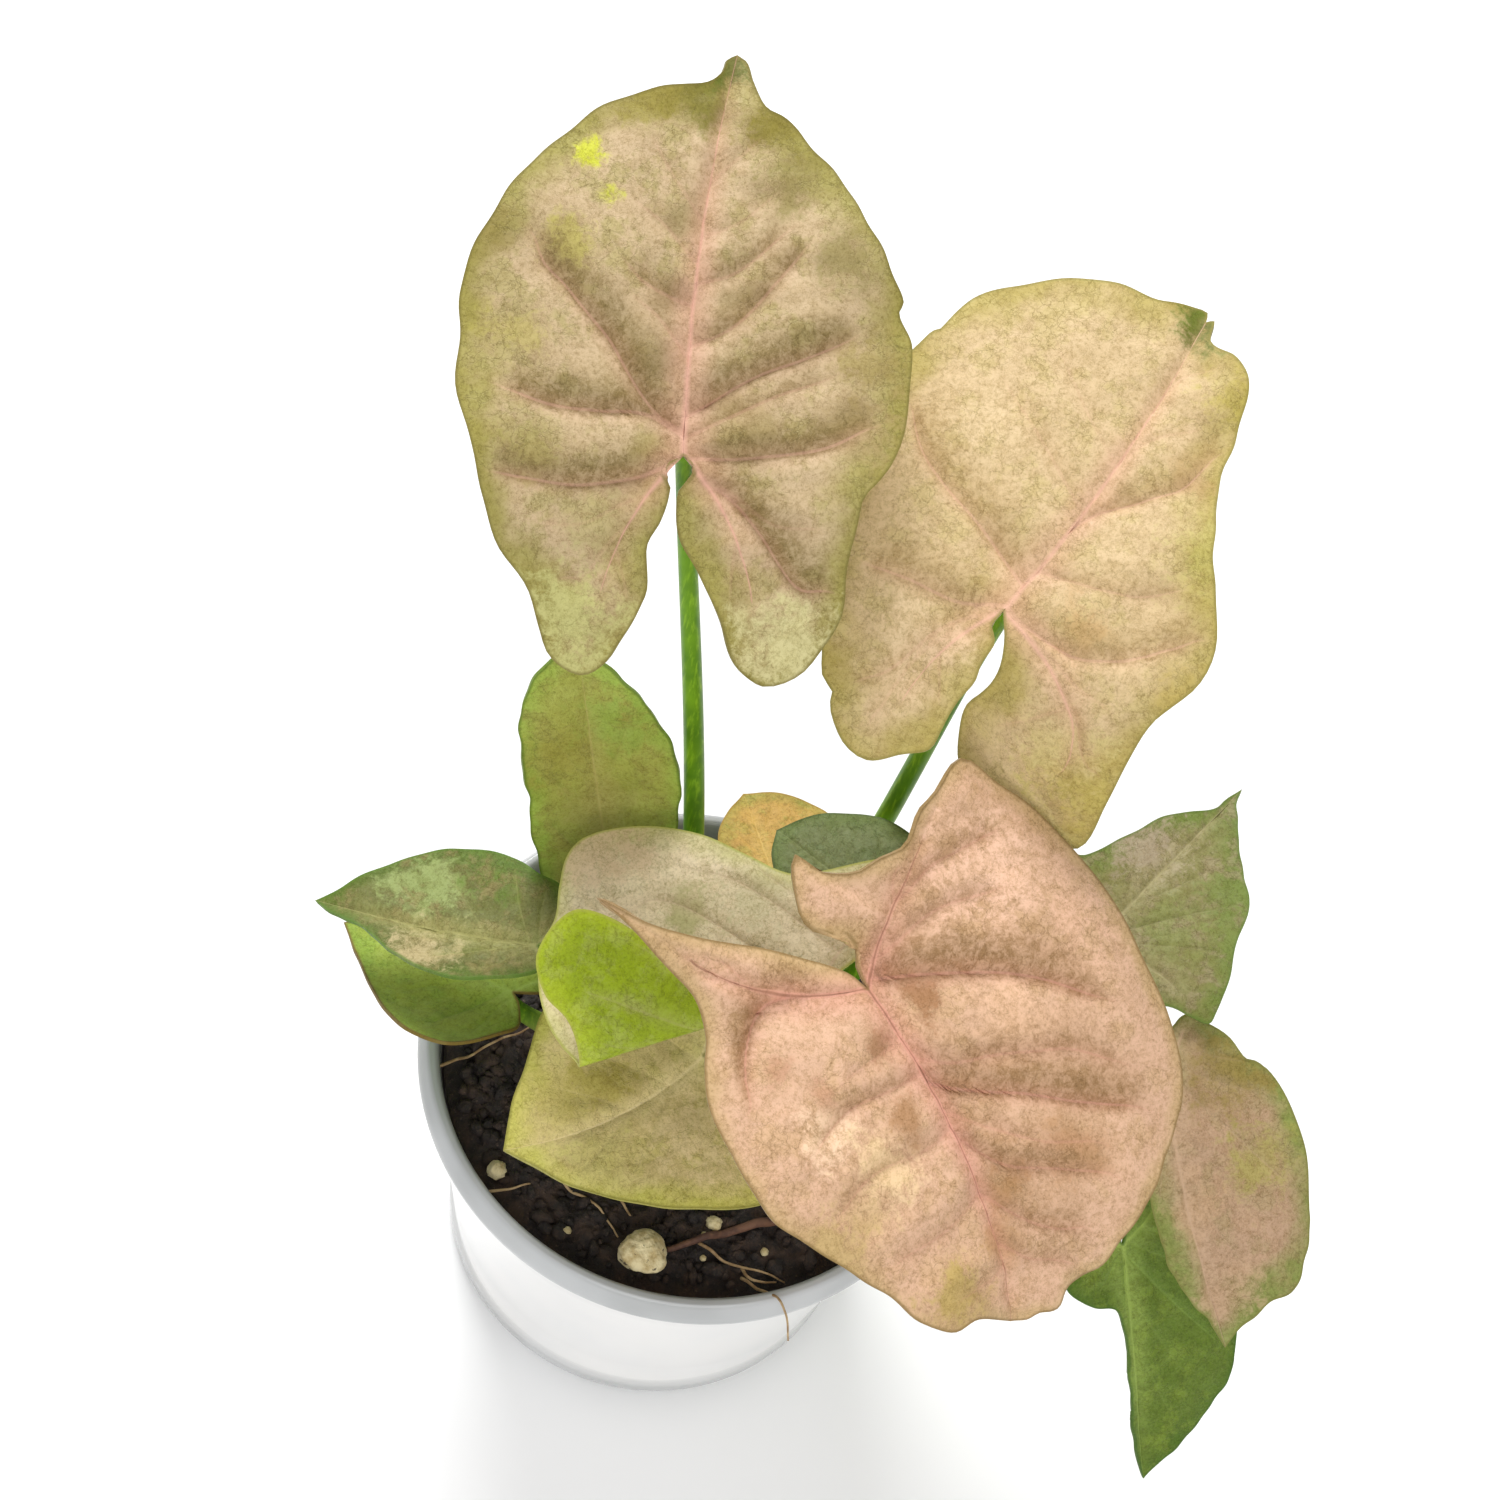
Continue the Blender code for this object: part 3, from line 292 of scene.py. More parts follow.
        patches=[(12.6, 11.4, 4.2, "#a8a66a", 0.7), (23.2, 19.6, 6, "#dcc4a0", 0.6),
            (11.8, 3.9, 4, "#c4c094", 0.5), (21.4, 15.1, 4, "#d4bc98", 0.5)],
        right=dict(
            side=[(1.7, 28.9), (5.4, 29.9), (9.6, 29.8), (13.7, 28.7), (16.9, 26.1), (20.3, 24.6),
                (23.3, 23), (25.3, 20.2)],
            lobe=[(24.9, 14.3), (21.6, 7.9), (17.5, 3.6), (13.4, -0.9), (12, -12), (8, -14)],
            inner=[(4.5, -11), (2.4, -6)],
            veins=[(0.4, [(0, 0.14), (0.75, 0.32), (0.9, 0.47)]),
                (0.5, [(0, 0.62), (0.7, 0.78), (0.85, 0.86)]),
                (1, [(0, 0.93), (0.53, 0.96), (0.65, 0.9), (0.7, 0.76)]),
                (1, [(0, 1.4), (0.6, 1.25), (0.7, 1.12)]), (0.6, [(0, 1.57), (0.83, 1.45)]),
                (0.4, [(0, 2.4), (0.6, 2.35)])],
            fold=8, curl=-0.5, ripple=0.5, waves=3),
        left=dict(
            side=[(-4.4, 27.2), (-7.6, 27.4), (-10.8, 28.8), (-15.2, 28.4), (-18.8, 23.2), (-14.6, 17.4),
                (-9.6, 11)],
            lobe=[(-7.2, 5), (-6.4, 0), (-5.4, -3.6), (-4, -4.8)],
            inner=[(-2.6, -4.2), (-1.3, -2.4)],
            fold=160, curl=-0.3, soft=2.2, ripple=0.3, waves=2, folded=True)),
    "e": dict(
        base=(0.6, -7, 62), tip=(-17.6, -24.3, 60), length=25.6, bow=-2.4, bend=-14, tipBend=-8,
        lobeBend=10, quilt=0.4, root=(-3, 3),
        # E's middle is partly its own colour and partly painted light: lighter, to make up for the shade that
        # leaf C casts on it
        look=dict(middle="#d8c68c", margin="#c8c464", marginWidth=4, patch="#bfb860", patchAmount=0.45,
                  shade="#b0a458", paintedShadeAmount=0.4, rib="#ead8a4", line="#85803a", under="#9aa045",
                  underMargin="#9aa045"),
        # the first patch is painted shade on E's upper part
        patches=[(1.5, 12, 5, "#b0a254", 0.8), (2.1, 17, 6, "#bcb060", 0.6),
            (-8.3, 5.3, 6, "#e6d0a0", 0.6), (-6.4, 16.9, 5, "#cfc878", 0.5)],
        right=dict(
            side=[(3.7, 22.7), (8.8, 17.9), (12.5, 14.2), (15.4, 7.6)],
            lobe=[(14.6, 2), (12.6, -5), (9.2, -10.4), (6.2, -11)],
            inner=[(3.6, -8.6), (1.6, -4.6)],
            fold=10, curl=-0.8, ripple=0.4, waves=3),
        left=dict(
            side=[(-2.9, 23.8), (-6, 22.1), (-10.1, 18.3), (-14.3, 13.5), (-17.3, 8.2)],
            lobe=[(-18.9, 3.2), (-18.6, -3), (-16, -7), (-12.5, -8)],
            inner=[(-8.5, -6), (-4.5, -3.2)],
            fold=10, curl=-0.8, ripple=0.4, waves=3)),
    "f": dict(
        base=(-15.4, 10.5, 62), tip=(-25.5, 17.8, 98), bank=-35, length=38.5, bow=0, bend=-8, tipBend=-10,
        lobeBend=10, quilt=0.3, root=(-9, 11),
        look=dict(middle="#a6ac52", margin="#9cb44c", marginWidth=3, patch="#98904a", patchAmount=0.5,
                  shade="#6c8434", paintedShadeAmount=0.6, rib="#b0a860", line="#56701f", under="#86a040",
                  underMargin="#7f9c3c"),
        patches=[(-3.7, 24.4, 6, "#96903e", 0.6), (3.2, 28.2, 5, "#8aa844", 0.5),
            (0, 15.2, 5, "#9c9650", 0.5)],
        right=dict(
            side=[(4, 35.2), (7.8, 27.8), (9.5, 21.4), (9.2, 15.4)],
            lobe=[(8.4, 9.7), (7.1, 3.9), (4.9, -1.2), (2.7, -4)],
            inner=[(1.5, -3.6), (0.5, -1.8)],
            fold=14, curl=-0.8, ripple=0.4, waves=3),
        left=dict(
            side=[(-3.1, 38), (-6.2, 34.4), (-7.6, 29.2), (-7.9, 23.7), (-7.8, 16.7)],
            lobe=[(-8.2, 12), (-7.8, 6.4), (-7.5, 1.7), (-6.4, -3.1)],
            inner=[(-4.2, -3.8), (-1.9, -2.4)],
            fold=14, curl=-0.8, ripple=0.5, waves=3)),
    "g": dict(
        base=(-20.9, -2.8, 68), tip=(-47.3, -1.6, 60), length=27.8, bow=-1, bend=-10, tipBend=-12,
        lobeBend=14, quilt=0.3, root=(-8, 5),
        look=dict(middle="#70733e", margin="#5c7028", marginWidth=3, patch="#9a8a5c", patchAmount=0.5,
                  shade="#7a8c40", paintedShadeAmount=0.6, rib="#a8a468", line="#557526", under="#90aa48",
                  underMargin="#8aa545"),
        patches=[(3.7, 14.8, 5, "#94a262", 0.7), (-4.5, 13, 5, "#b3a478", 0.85),
            (8, 7.5, 4, "#5f7828", 0.7)],
        right=dict(
            side=[(1.6, 25.3), (5.4, 21.1), (9.3, 14.5), (9.9, 6.3)],
            lobe=[(9, 3.1), (8.2, 0.4), (6.2, -1.6), (4, -2.4)],
            inner=[(2, -1.6)],
            fold=10, curl=-1, ripple=0.3, waves=3),
        left=dict(
            side=[(-1.5, 25.1), (-2.6, 21.1), (-6.5, 13.5)],
            lobe=[(-7.6, 7.5), (-6.4, 3.2), (-4.4, -0.2), (-2.6, -1.6)],
            inner=[(-1.2, -1.2)],
            fold=26, curl=-1.4, ripple=0.3, waves=2)),
    "h": dict(
        base=(-22.5, -3.5, 56), tip=(-44.4, 0.7, 52), length=22.6, bow=0, bend=-6, tipBend=-6, lobeBend=8,
        quilt=0.3, root=(-12, 0),
        look=dict(middle="#9cae44", margin="#8aa238", marginWidth=3, patch="#8fb044", patchAmount=0.4,
                  shade="#56822a", paintedShadeAmount=0.6, rib="#9ab050", line="#6b3f22", under="#7fa63c",
                  underMargin="#79a23a"),
        right=dict(
            side=[(3.4, 18), (6.2, 13), (7.6, 8.6)],
            lobe=[(7.4, 4), (6.2, -1.4), (4.6, -4.6)],
            inner=[(2.8, -4.2), (1.2, -2.4)],
            fold=8, curl=-0.8, ripple=0.3, waves=2),
        left=dict(
            side=[(-2.6, 19.9), (-8.7, 13.7), (-13.6, 7.2)],
            lobe=[(-13.6, 3.2), (-10.6, 0.6), (-6.6, -1.4), (-4, -2.6)],
            inner=[(-2.4, -2), (-1, -1.2)],
            fold=8, curl=2.6, ripple=0.3, waves=2)),
    "i": dict(
        base=(2.5, 19, 60), tip=(-4, 31.5, 56), length=14, bow=0, bend=-10, tipBend=0, lobeBend=10,
        quilt=0.2, root=(2, 17),
        look=dict(middle="#c09a50", margin="#a89644", marginWidth=3, patch="#98a048", patchAmount=0.4,
                  shade="#b3924a", paintedShadeAmount=0.6, rib="#d0b064", line="#9a7a30", under="#b8a24a",
                  underMargin="#aaa348"),
        right=dict(
            side=[(3.6, 13.2), (7, 11.4), (9.4, 8.4)],
            lobe=[(8.4, 4), (6.8, 0), (5, -3)],
            inner=[(3.2, -2.8), (1.4, -1.8)],
            fold=10, curl=-1.6, ripple=0.3, waves=2),
        left=dict(
            side=[(-2.4, 11.4), (-4.4, 8.6), (-5.4, 5.6)],
            lobe=[(-5.8, 2.6), (-5.2, -1), (-3.8, -3.4)],
            inner=[(-2.2, -3), (-1, -2)],
            fold=10, curl=-1.2, ripple=0.2, waves=2)),
    "j": dict(
        base=(15.3, 7.3, 79.5), tip=(1.3, 15.1, 77.5), length=16.5, bow=0, bend=-14, tipBend=-10,
        lobeBend=10, quilt=0.2, root=(9, 9.5),
        look=dict(middle="#747e50", margin="#6b7c40", marginWidth=3, patch="#5c7038", patchAmount=0.4,
                  shade="#5d6c3f", paintedShadeAmount=0.6, rib="#8a9060", line="#485a28", under="#7d9050",
                  underMargin="#789048"),
        right=dict(
            side=[(3, 15.2), (6.6, 12.6), (9.4, 9)],
            lobe=[(10, 4), (8.4, -1), (6, -4.6)],
            inner=[(3.2, -4), (1.2, -2.2)],
            fold=10, curl=-1.4, ripple=0.3, waves=2),
        left=dict(
            side=[(-3, 14.4), (-5.8, 11), (-7.6, 7.4)],
            lobe=[(-7.8, 3), (-6.6, -1.4), (-4.6, -4.6)],
            inner=[(-2.8, -4), (-1.2, -2.2)],
            fold=10, curl=-1.4, ripple=0.3, waves=2)),
    "k": dict(
        base=(40.3, 18.6, 68), tip=(52.9, 42.5, 72), length=27.4, bow=0, bend=-8, tipBend=10, lobeBend=12,
        quilt=0.3, root=(14, 11),
        look=dict(middle="#83804c", margin="#6f8038", marginWidth=4, patch="#a08f74", patchAmount=0.5,
                  shade="#5f6a30", paintedShadeAmount=0.5, rib="#a39a70", line="#5b7030", under="#84a84c",
                  underMargin="#7fa344"),
        patches=[(-2.8, 13.5, 5, "#a4947c", 0.75), (5.6, 7.3, 5, "#848c4c", 0.5),
            (8, 15, 4, "#6c7c34", 0.6)],
        right=dict(
            side=[(0.8, 25.5), (3.2, 22.8), (5.6, 20.2), (10.2, 16.2)],
            lobe=[(12.1, 11.8), (14.6, 7), (16, 3.2), (16.3, 1.6)],
            inner=[(14.1, 0.7), (11.8, 0.2), (7, -2.6), (3, -2.4)],
            fold=12, curl=-0.9, ripple=0.3, waves=2),
        left=dict(
            side=[(-0.5, 25.2), (-0.7, 23.5), (-4.4, 17.7), (-6.2, 12.1), (-7.9, 7.4)],
            lobe=[(-9.6, 6), (-11, 0), (-10, -6), (-7.4, -8.6)],
            inner=[(-4.6, -7), (-1.8, -3.8)],
            fold=12, curl=-0.8, ripple=0.3, waves=2)),
    "l": dict(
        base=(51.6, 7.6, 66), tip=(68, -16.9, 50), length=34.5, bow=1.8, bend=-30, tipBend=-10,
        lobeBend=14, quilt=0.4, root=(14, 4),
        look=dict(middle="#b8987c", margin="#86904a", marginWidth=5, patch="#a39264", patchAmount=0.45,
                  shade="#957f58", paintedShadeAmount=0.6, rib="#c2a486", line="#77763a", under="#93a052",
                  underMargin="#8fa04c"),
        patches=[(-7, 3, 6, "#8c7a3c", 0.7), (-7.9, 13.8, 5, "#a09a4c", 0.6),
            (0.4, 16.6, 4, "#bf9c78", 0.5), (-1.2, 27.6, 4, "#bc9c7c", 0.6)],
        right=dict(
            side=[(1.9, 30.4), (4, 26.9), (5.2, 23.5), (5.8, 18)],
            lobe=[(5.8, 11), (5.6, 4), (5, -3), (4, -6)],
            inner=[(2.4, -5.4), (1, -3)],
            fold=-30, curl=-4, ripple=0.2, waves=2),
        left=dict(
            side=[(-1.9, 32.3), (-5.8, 29.9), (-8.7, 29.4), (-11.3, 25.9), (-12.8, 20.3)],
            lobe=[(-13.5, 13.6), (-12.9, 7.7), (-11.2, 3.4), (-9.4, 2.2), (-8.2, -0.5), (-6.4, -2.8),
                (-4.7, -4.6)],
            inner=[(-2.7, -3.7), (-0.9, -2)],
            fold=12, curl=-1, ripple=0.5, waves=2)),
    "m": dict(
        base=(54, -8.5, 50), tip=(66.3, -24, 24), length=34.5, bow=0, bend=-10, tipBend=10, lobeBend=8,
        quilt=0.3, root=(12.5, -3.5), arrive=(0.9, -0.1, -0.25), reach=0.36,
        look=dict(middle="#5c721e", margin="#4e6a16", marginWidth=3, patch="#7f9430", patchAmount=0.45,
                  shade="#4f7326", paintedShadeAmount=0.6, rib="#93a850", line="#3f5f1a", under="#80a23c",
                  underMargin="#7a9c38"),
        right=dict(
            side=[(0.6, 31), (0.9, 27), (0.9, 19.4), (1, 12)],
            lobe=[(1.8, 8.8), (4.8, 6.8), (8, 3), (6.6, -1.6)],
            inner=[(3.6, -2.6), (1.4, -2)],
            fold=6, curl=-0.8, ripple=0.2, waves=2),
        left=dict(
            side=[(-3.4, 32), (-7.2, 29.6), (-10.6, 25.2), (-12.8, 20.4)],
            lobe=[(-13.8, 13), (-12.6, 5), (-10, -2), (-6.6, -5.6)],
            inner=[(-3.6, -5), (-1.4, -3)],
            fold=14, curl=-1, ripple=0.4, waves=3)),
}
bladeGrid = dict(
    step=7,             # finer columns for each of the solid's columns
    plainCount=22,      # rows from the midrib to the margin
    foldCount=34,
    thickness=0.4,
    veinDepth=0.2,      # how deep a line the side veins make on top
    gentle=4.5,         # how far a side vein's valley reaches on its gentle side
    steep=2.2,          # and on its steep side
    paintedShade=3.4,           # how far the painted shade on that side reaches
    fray=0.12,          # how far the margin strays from its smooth line
    cockle=0.22,        # height of the uneven swells all over the skin
    ribDepth=0.45,
    ribSwell=0.55)      # how far the midrib stands out underneath
sideColumns = 9
lobeColumns = 5
lobeVeinReach = 0.66
lobeVeinBow = 0.07
bladeThickness = 0.7    # of the solid, which the stalks stop short of
fullLength = 43.5       # of the largest blade, for which the widths and depths are given
fullWidth = 26.0        # of that blade's wider half

# Side veins of a half that lists none of its own: strength, then knots of (across, along), where across runs
# from the midrib at 0 to the margin at 1, and along is 0 at the tip, 1 at the stalk and 2 at the lobe's end.
sideVeins = [
    (0.2, [(0, 0.25), (0.6, 0.18)]), (0.3, [(0, 0.45), (0.7, 0.38)]), (0.3, [(0, 0.66), (0.7, 0.62)]),
    (0.5, [(0, 0.9), (0.4, 0.93), (0.8, 0.98)]), (0.35, [(0, 1.1), (0.4, 1.3), (0.8, 1.4)]),
    (0.25, [(0, 1.5), (0.7, 1.6)]), (0.2, [(0, 2.4), (0.6, 2.4)])]


def smoothCurve(points, marks, counts):
    # cubic pieces through the points, their slopes shared by square-root spacing, read at equal lengths
    # between the marked points
    p = np.array(points, float)
    gap = np.linalg.norm(np.diff(p, axis=0), axis=1) ** 0.5 + 1e-9
    slope = np.diff(p, axis=0) / gap[:, None]
    tangent = np.empty_like(p)
    weight = (gap[:-1] + gap[1:])[:, None]
    tangent[1:-1] = (slope[:-1] * gap[1:, None] + slope[1:] * gap[:-1, None]) / weight
    tangent[0] = slope[0]
    tangent[-1] = slope[-1]
    h = np.linspace(0, 1, 25)[:-1, None]
    fine = []
    for i in range(len(p) - 1):
        here = (2 * h**3 - 3 * h**2 + 1) * p[i] + (h**3 - 2 * h**2 + h) * gap[i] * tangent[i]
        there = (3 * h**2 - 2 * h**3) * p[i + 1] + (h**3 - h**2) * gap[i] * tangent[i + 1]
        fine.append(here + there)
    fine = np.vstack(fine + [p[-1:]])
    runs = []
    for first, last, count in zip(marks[:-1], marks[1:], counts):
        part = fine[first * 24: last * 24 + 1]
        steps = np.linalg.norm(np.diff(part, axis=0), axis=1)
        length = np.concatenate([[0], np.cumsum(steps)])
        at = np.linspace(0, length[-1], count + 1)
        run = np.column_stack([np.interp(at, length, part[:, k]) for k in range(2)])
        runs.append(run if not runs else run[1:])
    return np.vstack(runs)


def midribAcross(leaf, along):
    # the midrib bows sideways as a parabola between base and tip
    part = np.clip(along / leaf["length"], 0, 1)
    return 4 * leaf["bow"] * part * (1 - part)


def halfGrid(leaf, side, step, rows):
    # one half of the flat blade: straight lines from the midrib, then the lobe's vein, out to the margin
    half = leaf[side]
    sideCount, lobeCount = sideColumns * step, lobeColumns * step
    margin = [(0.0, leaf["length"])] + half["side"] + half["lobe"] + half["inner"] + [(0.0, 0.0)]
    shoulder = len(half["side"])
    marks = [0, shoulder, shoulder + len(half["lobe"]), len(margin) - 1]
    rim = smoothCurve(margin, marks, [sideCount, lobeCount, lobeCount])
    # the margin strays a little, as two waves of unlike length that die out at the tip and the stalk
    walk = np.linspace(0, 1, len(rim))
    size = min(leaf["length"] / fullLength, 1.0)
    stray = np.sin(55 * size * walk + 3 * leaf["length"]) + 0.7 * np.sin(97 * size * walk + marks[1])
    stray *= bladeGrid["fray"] * size**1.5 * np.clip(np.minimum(walk / 0.1, (1 - walk) / 0.25), 0, 1)
    step2 = np.gradient(rim, axis=0)
    outward = np.column_stack([step2[:, 1], -step2[:, 0]]) / (np.linalg.norm(step2, axis=1)[:, None] + 1e-9)
    rim = rim + outward * stray[:, None]
    up = leaf["length"] * np.linspace(1, 0, sideCount + 1) ** 1.45
    midrib = np.column_stack([midribAcross(leaf, up), up])
    out = np.linspace(0, 1, lobeCount + 1)[1:]
    there = np.concatenate([out, out[::-1][1:], [0.0]])[:, None]
    lobeEnd = np.array(half["lobe"][-1], float)
    outward = np.array([-lobeEnd[1], lobeEnd[0]]) * np.sign(lobeEnd[0])
    end = np.array(half.get("vein", lobeVeinReach * lobeEnd + lobeVeinBow * outward), float)
    turn = end - (lobeEnd - end) * 0.5 * np.linalg.norm(end) / np.linalg.norm(lobeEnd - end)
    bone = np.vstack([midrib, 2 * there * (1 - there) * turn + there**2 * end])
    t = np.array(rows)[None, :, None]
    flat = bone[:, None] * (1 - t) + rim[:, None] * t
    along = np.linspace(0, 1, len(bone))[:, None] * np.ones(len(rows))
    across = np.ones(len(bone))[:, None] * np.array(rows)
    return flat, along, across, bone, rim


def distanceTo(points, line):
    # least distance from each point to the pieces of a line
    a, b = line[:-1], line[1:]
    ab = b - a
    size = (ab**2).sum(1) + 1e-12
    part = np.clip(((points[:, None] - a) * ab).sum(2) / size, 0, 1)
    return np.sqrt((((points[:, None] - a) - part[..., None] * ab) ** 2).sum(2)).min(1)


def veinField(flat, along, across, bone, rim, veins, steepTowardsTip):
    # distance to the nearest side vein, its sign changing at every vein so that it falls to an exact zero;
    # that vein's strength, which fades out where the vein ends; the deepest valley, strength e^(-distance /
    # reach), whose reach differs on a vein's two sides; and the same as painted shade that keeps to the steep
    # side, whose slope faces away from the key light
    share = sideColumns / (sideColumns + 2 * lobeColumns)
    where = np.linspace(0, 1, len(bone))
    reach = np.linspace(0, 1, 40)
    far, strength, beyond = [], [], []
    for weight, knots in veins:
        line = smoothCurve(knots, [0, len(knots) - 1], [24])
        walk = np.where(line[:, 1] <= 1, line[:, 1] * share, share + (line[:, 1] - 1) * (1 - share) / 2)
        path = np.interp(reach, line[:, 0], walk)
        inner = np.column_stack([np.interp(path, where, bone[:, k]) for k in range(2)])
        outer = np.column_stack([np.interp(path, where, rim[:, k]) for k in range(2)])
        route = inner * (1 - reach[:, None]) + outer * reach[:, None]
        far.append(distanceTo(flat.reshape(-1, 2), route).reshape(along.shape))
        fade = np.clip((knots[-1][0] + 0.1 - across) / 0.2, 0, 1)
        strength.append(weight * fade * fade * (3 - 2 * fade))
        beyond.append(along > np.interp(across, line[:, 0], walk))
    far, strength, beyond = np.array(far), np.array(strength), np.array(beyond)
    size = np.linalg.norm(rim - bone, axis=1).max() / fullWidth
    steepSide = ~beyond if steepTowardsTip else beyond
    slope = np.where(steepSide, bladeGrid["steep"], bladeGrid["gentle"]) * size
    spread = np.where(steepSide, bladeGrid["paintedShade"], 0.5) * size
    valley = (strength * np.exp(-far / slope)).max(0)
    # painted shade: dark laid on the steep side of each vein, whose slope faces away from the key light
    paintedShade = (strength * np.exp(-far / spread)).max(0)
    near = np.take_along_axis(strength, far.argmin(0)[None], 0)[0]
    return far.min(0) * np.where(beyond.sum(0) % 2 == 0, 1, -1), near, valley, paintedShade


def gritField(x, y, seed, count, low, high):
    # sum of plane waves in random directions, wavelengths from low to high, each as strong as it is long
    rng = np.random.default_rng(seed)
    total = np.zeros_like(x)
    for size in np.exp(rng.uniform(np.log(low), np.log(high), count)):
        way, start = rng.uniform(0, 2 * np.pi, 2)
        total += size * np.sin((x * np.cos(way) + y * np.sin(way)) * 2 * np.pi / size + start)
    return total / (high * np.sqrt(count / 2))


def bendBlade(leaf, side, y, offset, centre, along, across, relief):
    # folds the flat half about the midrib, ripples it, adds the relief, and bends midrib and lobe lengthwise:
    # the slope across is fold (1 - e^(-d / soft)) + curl d, and it is summed outwards in small steps
    half = leaf[side]
    far = np.abs(offset)
    fold = np.radians(half["fold"]) * (np.clip(y / 8, 0.3, 1) if half.get("folded") else 1)
    curl = np.radians(half["curl"])
    soft = half.get("soft", 2.0)
    x = np.zeros_like(far)
    z = np.zeros_like(far)
    steps = 32
    for i in range(steps):
        d = far * (i + 0.5) / steps
        angle = fold * (1 - np.exp(-d / soft)) + curl * d
        x += np.cos(angle) * far / steps
        z += np.sin(angle) * far / steps
    x = np.sign(offset) * x + centre
    wave = np.sin(2 * np.pi * half["waves"] * along)
    z = z + half["ripple"] * across**2 * wave * np.clip(far / 4, 0, 1) + relief
    length = leaf["length"]
    lobeBend = np.radians(half.get("lobeBend", leaf["lobeBend"]))

    def slopeAt(v):
        up = np.clip(v, 0, None)
        down = np.clip(-v, 0, None)
        blade = np.radians(leaf["bend"]) * up / length
        blade += np.radians(leaf["tipBend"]) * np.clip((up / length - 0.7) / 0.3, 0, None) ** 2
        return blade + lobeBend * (1 - np.exp(-down / 4.0))

    alongBent = np.zeros_like(y)
    lift = np.zeros_like(y)
    for i in range(steps):
        angle = slopeAt(y * (i + 0.5) / steps)
        alongBent += np.cos(angle) * y / steps
        lift += np.sin(angle) * y / steps
    angle = slopeAt(y)
    return np.stack([x, alongBent - z * np.sin(angle), lift + z * np.cos(angle)], -1)


def leafAxes(leaf):
    # across, along and normal of the blade, turned so that the bent midrib ends on the line to the tip
    base = np.array(leaf["base"], float)
    along = np.array(leaf["tip"], float) - base
    along /= np.linalg.norm(along)
    across = np.cross(along, [0, 0, 1])
    across /= np.linalg.norm(across)
    normal = np.cross(across, along)
    bank = np.radians(leaf.get("bank", 0))
    level, up = across, normal
    across = np.cos(bank) * level - np.sin(bank) * up
    normal = np.sin(bank) * level + np.cos(bank) * up
    none = np.zeros(1)
    bent = bendBlade(leaf, "right", np.array([float(leaf["length"])]), none, none, none, none, none)[0]
    turn = np.arctan2(bent[2], bent[1])
    turned = np.cos(turn) * along - np.sin(turn) * normal
    normal = np.sin(turn) * along + np.cos(turn) * normal
    return base, across, turned, normal


